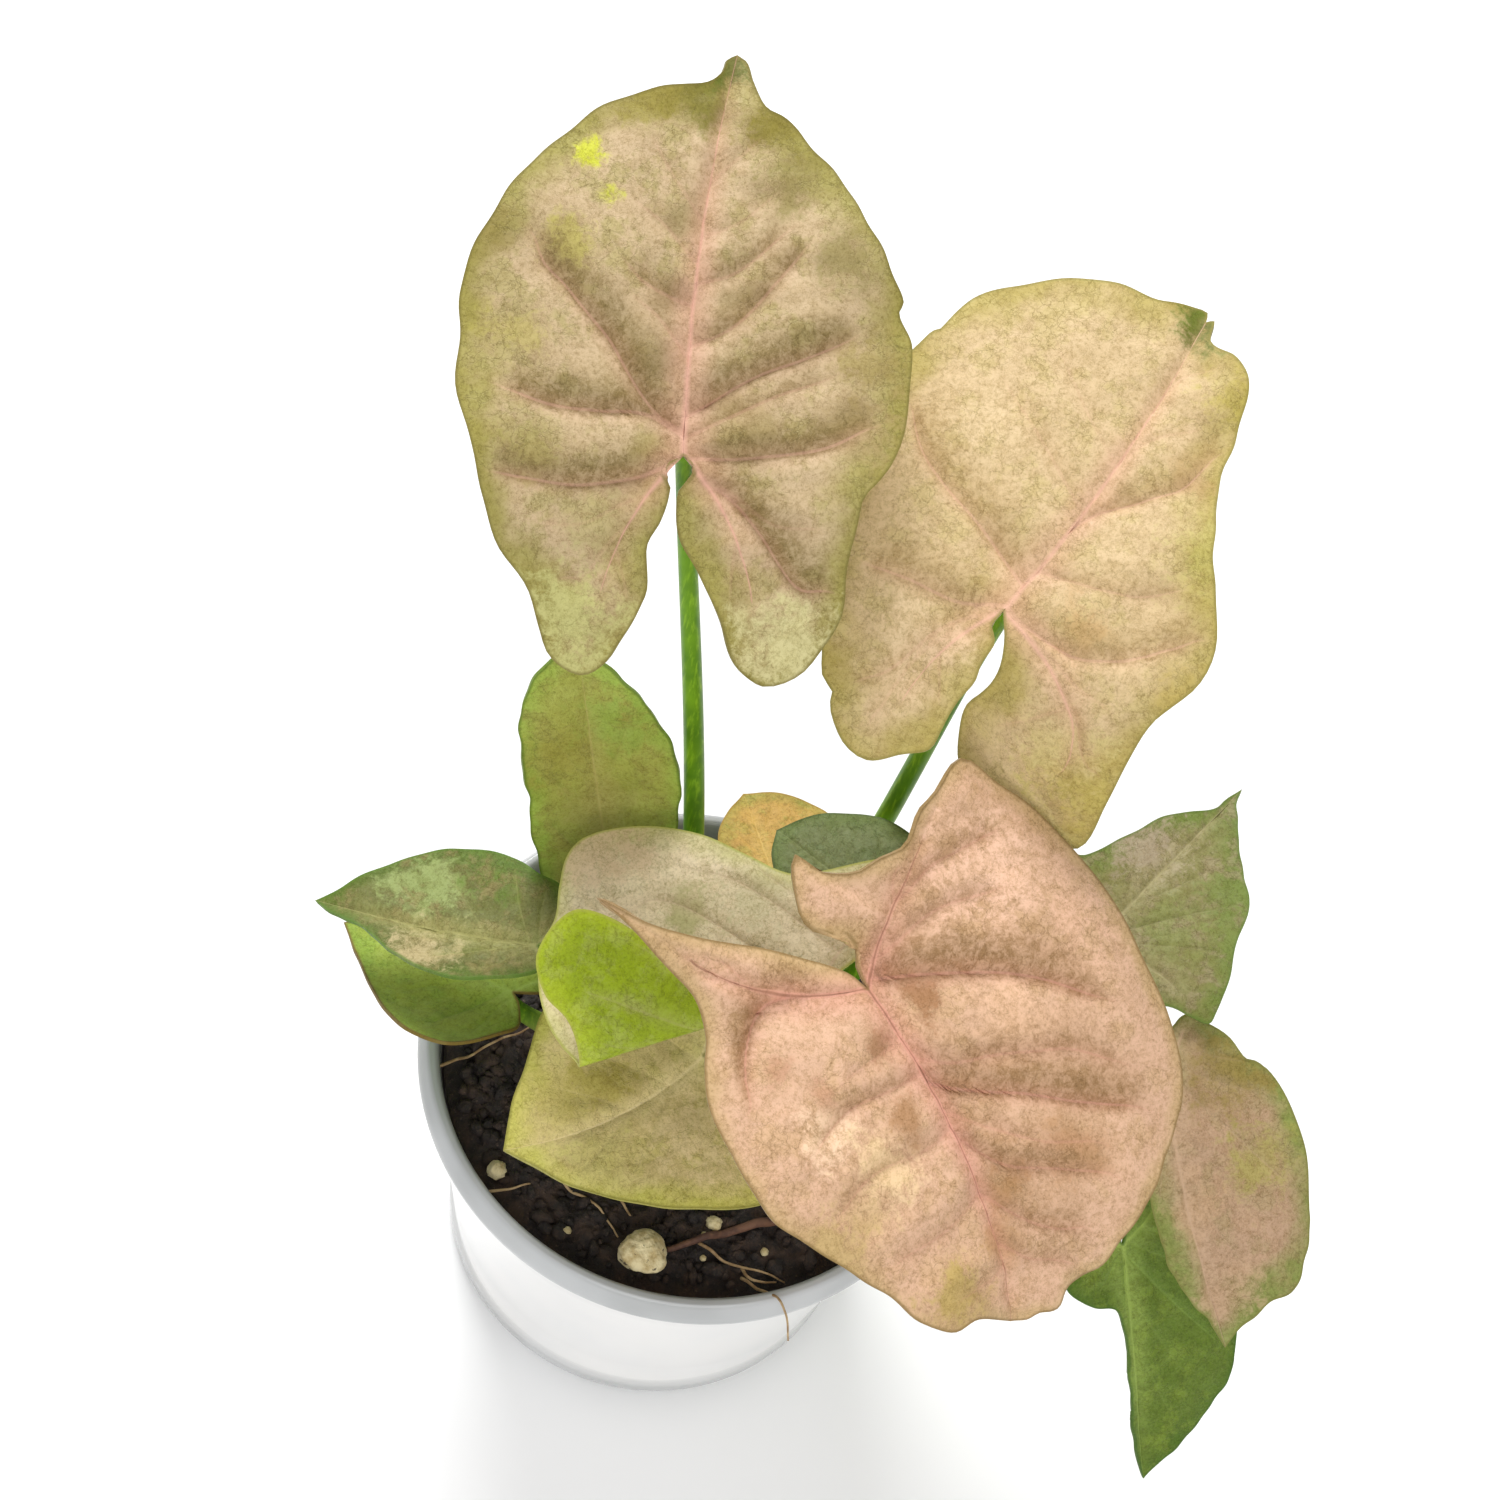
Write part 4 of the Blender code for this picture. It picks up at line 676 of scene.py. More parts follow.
def makeBlade(letter, leaf, materials):
    # both halves on fine grids, joined where they meet, given a top, an underside and a closed margin
    base, across, along, normal = leafAxes(leaf)
    step = leaf.get("step", bladeGrid["step"])
    points, triangles, swell, corners, count = [], [], [], [], 0
    for side in ("right", "left"):
        half = leaf[side]
        folded = half.get("folded")
        rows = np.linspace(0, 1, (bladeGrid["foldCount"] if folded else bladeGrid["plainCount"]) + 1)
        flat, walk, out, bone, rim = halfGrid(leaf, side, step, rows ** 1.6 if folded else rows)
        # a vein's steep side, which takes the painted shade, is the one towards the back, away from the key
        # light
        vein, strength, valley, paintedShade = veinField(flat, walk, out, bone, rim, half.get("veins", sideVeins),
                                                 leaf["tip"][1] > leaf["base"][1])
        rib = distanceTo(flat.reshape(-1, 2), bone).reshape(vein.shape)
        edge = distanceTo(flat.reshape(-1, 2), rim).reshape(vein.shape)
        y = flat[..., 1]
        centre = midribAcross(leaf, y)
        offset = flat[..., 0] - centre
        tipward = np.clip(y / leaf["length"], 0, 1)
        size = leaf["length"] / fullLength
        lobeward = np.clip(-y / 14.0, 0, 1)
        ribWidth = (0.42 - 0.28 * tipward) * size ** 0.5 * (1 - 0.72 * lobeward)
        ribFade = 1 - half.get("lobeFade", 0.75) * np.clip(-y / 9.0, 0, 1)
        tint = ribFade * (1 - 0.8 * np.clip((tipward - 0.5) / 0.4, 0, 1))
        veinWidth = (0.3 - 0.16 * out) * size ** 0.5
        # the blade domes up between the side veins, which are let in, and sinks at the midrib
        shore = np.clip(edge / 2.5, 0, 1)
        inland = (1 - out) ** 0.8 * np.clip(rib / 2.0, 0, 1)
        relief = leaf["quilt"] * half.get("swell", 1.0) * (0.9 - 2.6 * valley) * inland * shore
        relief += gritField(flat[..., 0], y, 21, 40, 3.0, 11.0) * bladeGrid["cockle"] * size * shore
        relief += gritField(flat[..., 0], y, 22, 50, 1.2, 3.0) * bladeGrid["cockle"] * 0.22 * shore
        relief -= bladeGrid["veinDepth"] * strength * np.exp(-(vein / (0.6 * size)) ** 2) * shore
        relief -= bladeGrid["ribDepth"] * size * np.exp(-(rib / (0.9 * size)) ** 2) * shore * ribFade
        bent = bendBlade(leaf, side, y, offset, centre, walk, out, relief)
        world = base + bent[..., :1] * across + bent[..., 1:2] * along + bent[..., 2:] * normal
        m, n = vein.shape
        i = np.arange(m * n).reshape(m, n) + count
        quads = np.stack([i[:-1, :-1], i[1:, :-1], i[1:, 1:], i[:-1, 1:]], -1).reshape(-1, 4)
        if side == "left":
            quads = quads[:, ::-1]
        triangles += [quads[:, [0, 1, 2]], quads[:, [0, 2, 3]]]
        points.append(world.reshape(-1, 3))
        cord = bladeGrid["ribSwell"] * size * np.exp(-(rib / (0.55 * size)) ** 2)
        swell.append((cord * shore * ribFade).ravel())
        values = [flat[..., 0], y, vein / veinWidth, rib / ribWidth, edge, strength, tint, paintedShade]
        corners.append(np.stack(values, -1).reshape(-1, len(values)))
        count += m * n
    points, triangles = np.vstack(points), np.vstack(triangles)
    swell, corners = np.concatenate(swell), np.vstack(corners)
    _, first, index = np.unique(np.round(points * 2000).astype(int), axis=0, return_index=True,
                                return_inverse=True)
    joined = index.reshape(-1)[triangles]
    a, b, c = joined.T
    keep = (a != b) & (b != c) & (c != a)
    triangles, joined, points, swell = triangles[keep], joined[keep], points[first], swell[first]
    face = np.cross(points[joined[:, 1]] - points[joined[:, 0]], points[joined[:, 2]] - points[joined[:, 0]])
    out = np.zeros_like(points)
    for k in range(3):
        np.add.at(out, joined[:, k], face)
    out /= np.linalg.norm(out, axis=1)[:, None] + 1e-12
    half = bladeGrid["thickness"] / 2
    shell = np.vstack([points + out * half, points - out * (half + swell)[:, None]])
    total = len(points)
    ways = np.vstack([joined[:, [0, 1]], joined[:, [1, 2]], joined[:, [2, 0]]])
    owner = np.vstack([triangles[:, [0, 1]], triangles[:, [1, 2]], triangles[:, [2, 0]]])
    key = np.sort(ways, axis=1)
    _, where, times = np.unique(key, axis=0, return_index=True, return_counts=True)
    lone = where[times == 1]
    a, b = ways[lone].T
    ownA, ownB = owner[lone].T
    faces = np.vstack([joined, joined[:, ::-1] + total,
                       np.column_stack([b, a, a + total]), np.column_stack([b, a + total, b + total])])
    source = np.vstack([triangles, triangles[:, ::-1],
                        np.column_stack([ownB, ownA, ownA]), np.column_stack([ownB, ownA, ownB])])
    under = np.zeros(len(faces))
    under[len(joined): 2 * len(joined)] = 1
    values = corners[source]
    # the last map carries the rib tint and the painted shade
    uvs = {"flat": values[..., 0:2], "veins": values[..., 2:4], "rims": values[..., 4:6],
           "folds": values[..., 6:8]}
    node = "leaf_" + letter
    return makeMesh("blade_" + letter, shell, faces, materials, node, under, uvs, sharp=1.0)


# The fine texture of every blade's skin: three darkening tints and a lightening one.
skinLook = dict(mottle="#ccc39a", fibre="#a39a66", grain="#a89e70", light="#4a3c34", roughness=0.45)


def bladeMaterials(name, look, patches, size, seed):
    # A living leaf: a satin skin over soft tissue. The eye sees a pale middle that greens towards the
    # margin in cloudy patches, pink ribs, painted olive shade on the side of each vein turned from the key
    # light, and a fine grainy, fibrous mottle.
    made = []
    for underside in (False, True):
        kind = "underside" if underside else "skin"
        material, tree, shader = newMaterial(f"leaf_{name}_{kind}")
        flat = addNode(tree, "ShaderNodeUVMap", {"uv_map": "flat"}).outputs[0]
        parts = {}
        for key in ("veins", "rims", "folds"):
            values = addNode(tree, "ShaderNodeUVMap", {"uv_map": key}).outputs[0]
            parts[key] = addNode(tree, "ShaderNodeSeparateXYZ", links={0: values}).outputs
        vein, rib = maths(tree, "ABSOLUTE", parts["veins"][0]), parts["veins"][1]
        edge, strength = parts["rims"][0], parts["rims"][1]
        ribFade, paintedShade = parts["folds"][0], parts["folds"][1]
        cloud = noise(tree, flat, 9.0 * size, 4, 0.6, seed)
        blotch = noise(tree, flat, 4.2 * size, 5, 0.65, seed + 3.1)
        mottle = noise(tree, flat, 1.3, 6, 0.8, seed + 7.7, 0.6)
        speck = noise(tree, flat, 0.34, 3, 0.7, seed + 1.9)
        # fibres: noise drawn out along bent lines, so that it breaks into short wandering hairs
        bent = addNode(tree, "ShaderNodeVectorMath", {"operation": "ADD"}, {
            0: flat, 1: addNode(tree, "ShaderNodeVectorMath", {"operation": "SCALE", "Scale": 2.2}, {
                0: addNode(tree, "ShaderNodeTexNoise", {"Scale": 0.7, "Detail": 3.0, "Roughness": 0.7},
                           {"Vector": flat}).outputs[1]}).outputs[0]}).outputs[0]
        hair = addNode(tree, "ShaderNodeTexVoronoi", {
            "feature": "DISTANCE_TO_EDGE", "Scale": 0.75, "Randomness": 1.0}, {"Vector": bent}).outputs[0]
        away = maths(tree, "ADD", edge, maths(tree, "MULTIPLY", maths(tree, "SUBTRACT", cloud, 0.5),
                                              look["marginWidth"] * 2.2))
        inward = ramp(tree, away, 0.0, look["marginWidth"])
        middle, margin = ("under", "underMargin") if underside else ("middle", "margin")
        colour = mixColour(tree, inward, look[margin], look[middle])
        patch = ramp(tree, blotch, 0.48, 0.62, 0.0, look["patchAmount"] * (0.5 if underside else 1.0))
        colour = mixColour(tree, patch, colour, look["patch"])
        for x, y, radius, shade, amount in patches:
            away = addNode(tree, "ShaderNodeVectorMath", {"operation": "DISTANCE", 1: (x, y, 0.0)}, {0: flat})
            ragged = maths(tree, "ADD", away.outputs["Value"], maths(tree, "MULTIPLY", maths(
                tree, "SUBTRACT", mottle, 0.5), radius * 2.6))
            ragged = maths(tree, "ADD", ragged, maths(tree, "MULTIPLY", maths(
                tree, "SUBTRACT", blotch, 0.5), radius * 3.4))
            strongest = min(amount * 1.2, 1.0) * (0.3 if underside else 1.0)
            painted = ramp(tree, ragged, radius * 0.2, radius * 1.1, strongest, 0.0)
            colour = mixColour(tree, painted, colour, shade)
        # painted shade: the steep side of each vein, whose slope faces away from the key light, is darkened
        # towards the look's olive shade colour, broken by the mottle
        shade = maths(tree, "MULTIPLY", ramp(tree, paintedShade, 0.12, 0.7), ramp(tree, mottle, 0.4, 0.58, 0.6, 1.0))
        colour = mixColour(tree, maths(tree, "MULTIPLY", shade, look["paintedShadeAmount"]), colour, look["shade"])
        beside = maths(tree, "MULTIPLY", ramp(tree, vein, 1.0, 9.0, 0.2, 0.0), strength)
        colour = mixColour(tree, beside, colour, look["rib"])
        nearRib = maths(tree, "MULTIPLY", ramp(tree, rib, 1.0, 10.0, 0.5, 0.0), ribFade)
        colour = mixColour(tree, nearRib, colour, look["rib"])
        # the fine texture darkens and lightens what lies under it: a mottle, short fibres where a bent noise
        # crosses its middle, a loose net of hairs, and grains
        wisps = noise(tree, flat, 1.0, 5, 0.75, seed + 4.4, 2.2)
        fibre = maths(tree, "ABSOLUTE", maths(tree, "SUBTRACT", wisps, 0.5))
        fibreLine = ramp(tree, fibre, 0.0, 0.035, 0.5, 0.0)
        fibreLine = maths(tree, "MULTIPLY", fibreLine, ramp(tree, mottle, 0.4, 0.58))
        hairLine = ramp(tree, hair, 0.0, 0.08, 1.0, 0.0)
        hairLine = maths(tree, "MULTIPLY", hairLine, ramp(tree, blotch, 0.4, 0.6))
        for tint, blend, cover in (
                ("mottle", "MULTIPLY", ramp(tree, mottle, 0.42, 0.64, 0.0, 0.3)),
                ("fibre", "MULTIPLY", fibreLine),
                ("fibre", "MULTIPLY", maths(tree, "MULTIPLY", hairLine, 0.3)),
                ("grain", "MULTIPLY", ramp(tree, speck, 0.5, 0.34, 0.0, 0.34)),
                ("light", "SCREEN", ramp(tree, speck, 0.5, 0.66, 0.0, 0.35))):
            colour = mixColour(tree, cover, colour, skinLook[tint], blend)
        line = maths(tree, "MULTIPLY", ramp(tree, vein, 0.3, 1.2, 0.36, 0.0), strength)
        colour = mixColour(tree, line, colour, look["rib"])
        ribLine = maths(tree, "MULTIPLY", ramp(tree, rib, 0.5, 1.3, 0.55, 0.0), ribFade)
        colour = mixColour(tree, ribLine, colour, look["rib"])
        colour = mixColour(tree, ramp(tree, rib, 0.1, 0.5, 0.7, 0.0), colour, look.get("core", look["rib"]))
        colour = mixColour(tree, ramp(tree, edge, 0.05, 0.42, 0.75, 0.0), colour, look["line"])
        tree.links.new(colour, shader.inputs["Base Color"])
        satin = skinLook["roughness"]
        tree.links.new(ramp(tree, mottle, 0.3, 0.7, satin - 0.06, satin + 0.08), shader.inputs["Roughness"])
        shader.inputs["Specular IOR Level"].default_value = 0.18
        height = maths(tree, "MULTIPLY", hairLine, -0.5)
        height = maths(tree, "ADD", height, maths(tree, "MULTIPLY", mottle, 2.0))
        height = maths(tree, "ADD", height, maths(tree, "MULTIPLY", line, -1.2))
        bump = addNode(tree, "ShaderNodeBump", {
            "Strength": 0.7, "Distance": 0.1 * toMetres, "invert": underside}, {"Height": height})
        tree.links.new(bump.outputs[0], shader.inputs["Normal"])
        made.append(material)
    return made


stalkLook = dict(
    rootRadius=1.35, topRadius=0.95, sides=20, rings=60, clearance=0.3, rootDepth=9.0,
    skin="#6f9c16", pale="#9cc430", dark="#4f7c10", foot="#b4b868")
soilEdgeLevel = 44.4


def bezier(p, t):
    # (1 - t)^3 p0 + 3 (1 - t)^2 t p1 + 3 (1 - t) t^2 p2 + t^3 p3
    t = t[:, None]
    return (1 - t)**3 * p[0] + 3 * (1 - t)**2 * t * p[1] + 3 * (1 - t) * t**2 * p[2] + t**3 * p[3]


def stalkPath(leaf, rings):
    # one cubic curve from inside the soil up and over to just under the base of the blade
    base, across, along, normal = leafAxes(leaf)
    arrive = np.array(leaf.get("arrive", normal + 0.35 * along), float)
    arrive /= np.linalg.norm(arrive)
    lean = np.linalg.norm(np.cross(arrive, normal))
    gap = stalkLook["clearance"] + 0.1 + stalkLook["topRadius"] * lean
    top = base + along * 1.2 - normal * (bladeThickness / 2 + gap)
    root = np.array([*leaf["root"], soilEdgeLevel - stalkLook["rootDepth"] + 2.0])
    span = np.linalg.norm(top - root)
    rise = np.array([0.0, 0.0, 1.0]) + leaf.get("lean", 0.55) * (top - root) * [1, 1, 0] / span
    control = [root, root + rise * span * 0.42, top - arrive * span * leaf.get("reach", 0.3), top]
    return bezier(control, np.linspace(0, 1, rings))


def ringFaces(count, sides):
    # triangles between rings of points, closed by a fan at each end; the two poles follow the rings' points
    i = np.arange(count * sides).reshape(count, sides)
    around = np.roll(i, -1, axis=1)
    a, b, c, d = i[:-1], around[:-1], around[1:], i[1:]
    pole = np.full(sides, count * sides)
    return np.vstack([np.stack([a, b, c], -1).reshape(-1, 3), np.stack([a, c, d], -1).reshape(-1, 3),
                      np.column_stack([pole, around[0], i[0]]),
                      np.column_stack([pole + 1, i[-1], around[-1]])])


def tube(path, radii, sides):
    # rings carried along the path without twisting, closed by a fan at each end
    step = np.gradient(path, axis=0)
    step /= np.linalg.norm(step, axis=1)[:, None]
    side = np.cross(step[0], [0.3, 1.0, 0.2])
    frames = []
    for ahead in step:
        side = side - ahead * (side @ ahead)
        side /= np.linalg.norm(side)
        frames.append((side, np.cross(ahead, side)))
    frames = np.array(frames)
    turn = 2 * np.pi * np.arange(sides) / sides
    around = np.cos(turn)[None, :, None] * frames[:, None, 0]
    around = around + np.sin(turn)[None, :, None] * frames[:, None, 1]
    rings = path[:, None] + np.asarray(radii)[:, None, None] * around
    points = np.vstack([rings.reshape(-1, 3), path[:1], path[-1:]])
    return points, ringFaces(len(path), sides)


def stalkMaterial():
    # A leaf stalk: a smooth watery green skin with faint streaks along it and a paler foot.
    material, tree, shader = newMaterial("stalk_skin")
    place = addNode(tree, "ShaderNodeTexCoord").outputs["Object"]
    long = addNode(tree, "ShaderNodeMapping", {"Scale": (1.0, 1.0, 0.08)}, {"Vector": place}).outputs[0]
    streak = noise(tree, long, 0.5 * toMetres, 3, 0.6, 2.0)
    cloud = noise(tree, place, 6 * toMetres, 3, 0.6, 5.0)
    colour = mixColour(tree, ramp(tree, cloud, 0.35, 0.7), stalkLook["dark"], stalkLook["skin"])
    colour = mixColour(tree, ramp(tree, streak, 0.48, 0.7, 0.0, 0.5), colour, stalkLook["pale"])
    high = addNode(tree, "ShaderNodeSeparateXYZ", links={0: place}).outputs[2]
    foot = ramp(tree, high, 0.046, 0.053, 0.75, 0.0)
    colour = mixColour(tree, foot, colour, stalkLook["foot"])
    tree.links.new(colour, shader.inputs["Base Color"])
    shader.inputs["Roughness"].default_value = 0.42
    shader.inputs["Specular IOR Level"].default_value = 0.25
    bump = addNode(tree, "ShaderNodeBump", {"Strength": 0.3, "Distance": 0.05 * toMetres}, {"Height": streak})
    tree.links.new(bump.outputs[0], shader.inputs["Normal"])
    return material


def makeStalk(letter, leaf, material):
    # the solid's own tube on a finer grid, its foot a little swollen where it leaves the soil
    rings = stalkLook["rings"]
    path = stalkPath(leaf, rings)
    radii = np.linspace(stalkLook["rootRadius"], stalkLook["topRadius"], rings)
    radii = radii * (1 + 0.18 * np.exp(-((path[:, 2] - soilEdgeLevel - 1.0) / 3.0) ** 2))
    points, faces = tube(path, radii, stalkLook["sides"])
    node = "stalk_" + letter
    return makeMesh("stem_" + letter, points, faces, [material], node)


potLook = dict(rimRadius=33.0, height=48.6, baseRadius=25.8, wall=1.0, floor=2.0, sides=160,
               body="#e2e1df", lip="#a2a4a4")


def lathe(profile, sides):
    # a profile turned about the Z axis, its first and last points on the axis, run up the outside
    profile = np.array(profile, float)
    turn = 2 * np.pi * np.arange(sides) / sides
    ring = profile[1:-1]
    rings = np.stack([ring[:, :1] * np.cos(turn), ring[:, :1] * np.sin(turn),
                      ring[:, 1:] * np.ones(sides)], -1)
    points = np.vstack([rings.reshape(-1, 3), [[0, 0, profile[0, 1]]], [[0, 0, profile[-1, 1]]]])
    return points, ringFaces(len(ring), sides)


def roundProfile(profile, count):
    # the profile's corners softened: cubic pieces through its points, count steps to each
    p = np.array(profile, float)
    slope = np.gradient(p, axis=0)
    t = np.linspace(0, 1, count + 1)[:-1, None]
    parts = []
    for k in range(len(p) - 1):
        gap = np.linalg.norm(p[k + 1] - p[k])
        m0 = slope[k] / (np.linalg.norm(slope[k]) + 1e-9) * gap
        m1 = slope[k + 1] / (np.linalg.norm(slope[k + 1]) + 1e-9) * gap
        parts.append((2 * t**3 - 3 * t**2 + 1) * p[k] + (t**3 - 2 * t**2 + t) * m0
                     + (3 * t**2 - 2 * t**3) * p[k + 1] + (t**3 - t**2) * m1)
    return np.vstack(parts + [p[-1:]])


def potMaterial():
    # Thin blow-moulded polypropylene: glossy, a little cloudy, so it is greyer where the wall is doubled.
    material, tree, shader = newMaterial("polypropylene")
    place = addNode(tree, "ShaderNodeTexCoord").outputs["Object"]
    high = addNode(tree, "ShaderNodeSeparateXYZ", links={0: place}).outputs[2]
    cloud = noise(tree, place, 14 * toMetres, 2, 0.5, 4.0)
    colour = mixColour(tree, ramp(tree, high, 0.0425, 0.0445), potLook["body"], potLook["lip"])
    colour = mixColour(tree, ramp(tree, high, 0.0055, 0.003, 0.0, 0.8), colour, potLook["lip"])
    colour = mixColour(tree, ramp(tree, cloud, 0.35, 0.7, 0.0, 0.3), colour, "#d4d6d8")
    tree.links.new(colour, shader.inputs["Base Color"])
    shader.inputs["Roughness"].default_value = 0.18
    return material


def makePot():
    # the wall's outline turned about the Z axis: out under the base, up the outside, over the lip and down
    rim, high, foot = potLook["rimRadius"], potLook["height"], potLook["baseRadius"]
    wallTop, outerTop = high - 5.0, rim - 1.9
    profile = [(0, 0), (foot - 1.6, 0), (foot - 0.5, 0.4), (foot, 1.4), (foot + 0.2, 3.8), (foot - 0.2, 4.6),
               (outerTop, wallTop), (rim - 0.9, wallTop + 0.7), (rim - 0.1, wallTop + 1.6),
               (rim, wallTop + 2.6), (rim - 0.5, wallTop + 4.0), (rim - 1.2, high), (rim - 1.9, high - 0.1),
               (rim - 2.4, high - 1.0), (outerTop - potLook["wall"], wallTop),
               (foot - 0.2 - potLook["wall"], 4.6), (foot - 2.4, potLook["floor"]), (0, potLook["floor"])]
    smooth = roundProfile(profile, 5)
    smooth[:, 1] = np.clip(smooth[:, 1], 0, high)
    points, faces = lathe(smooth, potLook["sides"])
    return makeMesh("nursery_pot", points, faces, [potMaterial()], "pot", sharp=0.9)


soilLook = dict(
    clearance=0.35, mound=2.2, crownX=1.0, crownY=8.0, rings=110, sides=260, grit=0.55,
    crumbs=1500, crumbSize=(0.3, 1.15), crumbLift=0.15,
    dark="#221b18", brown="#4a3a30", pale="#84705c")


def soilHeight(x, y):
    # a low mound round the stalks, with crumbs as crossed waves
    mound = soilLook["mound"] * np.exp(-((x - soilLook["crownX"])**2 + (y - soilLook["crownY"])**2) / 420.0)
    crumbs = 0.35 * np.sin(0.9 * x + 0.5 * y) + 0.3 * np.sin(0.7 * y - 0.6 * x + 1.3)
    crumbs += 0.25 * np.sin(1.7 * x - 0.4 * y + 0.6) * np.sin(1.5 * y + 0.9)
    return soilEdgeLevel + mound + crumbs


def soilMaterial():
    # Damp peat: dark and matt, with browner crumbs and fibres, and a few wet glints.
    material, tree, shader = newMaterial("damp_peat")
    place = addNode(tree, "ShaderNodeTexCoord").outputs["Object"]
    clump = noise(tree, place, 2.4 * toMetres, 5, 0.65, 1.0)
    grain = noise(tree, place, 0.5 * toMetres, 4, 0.7, 2.0)
    colour = mixColour(tree, ramp(tree, clump, 0.4, 0.68), soilLook["dark"], soilLook["brown"])
    colour = mixColour(tree, ramp(tree, grain, 0.56, 0.76, 0.0, 0.6), colour, soilLook["pale"])
    tree.links.new(colour, shader.inputs["Base Color"])
    tree.links.new(ramp(tree, clump, 0.35, 0.7, 0.6, 0.95), shader.inputs["Roughness"])
    height = maths(tree, "ADD", maths(tree, "MULTIPLY", clump, 1.5), grain)
    bump = addNode(tree, "ShaderNodeBump", {"Strength": 0.9, "Distance": 0.5 * toMetres}, {"Height": height})
    tree.links.new(bump.outputs[0], shader.inputs["Normal"])
    return material


def makeSoil(material):
    # a solid plug that fills the pot; its top is a polar grid raised by soilHeight and grit
    rings, sides = soilLook["rings"], soilLook["sides"]
    topRadius = potLook["rimRadius"] - 1.9 - potLook["wall"] - soilLook["clearance"]
    footRadius = potLook["baseRadius"] - 0.2 - potLook["wall"] - soilLook["clearance"]
    bottom = potLook["floor"] + soilLook["clearance"]
    turn = 2 * np.pi * np.arange(sides) / sides
    r = topRadius * (1 - np.arange(rings) / rings)[:, None]
    x, y = r * np.cos(turn), r * np.sin(turn)
    inner = np.clip((topRadius - r) / 4.0, 0, 1)
    grit = gritField(x, y, 3, 60, 0.9, 4.5) + 0.5 * np.abs(gritField(x, y, 4, 60, 0.6, 2.0))
    edgeLevel = soilEdgeLevel - 0.9
    z = edgeLevel + (soilHeight(x, y) - soilEdgeLevel + 0.9) * inner + soilLook["grit"] * grit * inner
    lower = [np.stack([k * np.cos(turn), k * np.sin(turn), np.full(sides, h)], -1)
             for k, h in ((footRadius - 1.6, bottom), (footRadius, 4.6 + soilLook["clearance"]))]
    points = np.vstack(lower + [np.stack([x, y, z], -1).reshape(-1, 3)])
    points = np.vstack([points, [[0, 0, bottom]], [[0, 0, float(z[-1].mean())]]])
    return makeMesh("peat", points, ringFaces(rings + len(lower), sides), [material], "soil")


def sphereGrid(rings, sides):
    # unit directions on a globe, closed at both poles
    down = np.pi * np.arange(1, rings) / rings
    turn = 2 * np.pi * np.arange(sides) / sides
    ring = np.stack([np.sin(down)[:, None] * np.cos(turn), np.sin(down)[:, None] * np.sin(turn),
                     np.cos(down)[:, None] * np.ones(sides)], -1)
    points = np.vstack([ring.reshape(-1, 3), [[0, 0, 1]], [[0, 0, -1]]])
    return points, ringFaces(rings - 1, sides)[:, ::-1]


def copiedFaces(faces, count, size):
    # the faces of one shape repeated for count copies of its points, size points in each
    return (faces[None] + (np.arange(count) * size)[:, None, None]).reshape(-1, 3)


def makeCrumbs(material):
    # small lumps of peat strewn over the soil by a seeded draw: flattened, dented globes, about half sunk
    rng = np.random.default_rng(11)
    unit, faces = sphereGrid(5, 7)
    count = soilLook["crumbs"]
    reach = potLook["rimRadius"] - 5.0
    r, turn = reach * np.sqrt(rng.uniform(0, 1, count)), rng.uniform(0, 2 * np.pi, count)
    x, y = r * np.cos(turn), r * np.sin(turn)
    size = np.exp(rng.uniform(*np.log(soilLook["crumbSize"]), count))
    stretch = rng.uniform([0.7, 0.6, 0.4], [1.4, 1.0, 0.8], (count, 3))
    dent = 1 + 0.28 * rng.uniform(-1, 1, (count, len(unit)))
    spin = rng.uniform(0, 2 * np.pi, count)
    local = unit[None] * dent[..., None] * stretch[:, None] * size[:, None, None]
    wide = local[..., 0] * np.cos(spin)[:, None] - local[..., 1] * np.sin(spin)[:, None]
    deep = local[..., 0] * np.sin(spin)[:, None] + local[..., 1] * np.cos(spin)[:, None]
    z = soilHeight(x, y)[:, None] + local[..., 2] + soilLook["crumbLift"] * size[:, None]
    points = np.stack([wide + x[:, None], deep + y[:, None], z], -1).reshape(-1, 3)
    return makeMesh("peat_crumbs", points, copiedFaces(faces, count, len(unit)), [material])


grainLook = dict(x=0.5, y=-26.1, radius=2.8, clearance=0.3, pale="#ded0a4", stain="#b09a68", dirt="#3c3024")


def grainMaterial():
    # Expanded perlite: chalky and porous, stained cream and brown by the peat.
    material, tree, shader = newMaterial("perlite")
    place = addNode(tree, "ShaderNodeTexCoord").outputs["Object"]
    stain = noise(tree, place, 1.6 * toMetres, 4, 0.6, 3.0)
    pore = noise(tree, place, 0.4 * toMetres, 3, 0.7, 8.0)
    colour = mixColour(tree, ramp(tree, stain, 0.4, 0.7), grainLook["pale"], grainLook["stain"])
    colour = mixColour(tree, ramp(tree, pore, 0.55, 0.75, 0.0, 0.5), colour, grainLook["stain"])
    dirt = noise(tree, place, 1.1 * toMetres, 3, 0.6, 12.0)
    colour = mixColour(tree, ramp(tree, dirt, 0.6, 0.66, 0.0, 0.9), colour, grainLook["dirt"])
    tree.links.new(colour, shader.inputs["Base Color"])
    shader.inputs["Roughness"].default_value = 0.9
    bump = addNode(tree, "ShaderNodeBump", {"Strength": 0.8, "Distance": 0.3 * toMetres}, {"Height": pore})
    tree.links.new(bump.outputs[0], shader.inputs["Normal"])
    return material


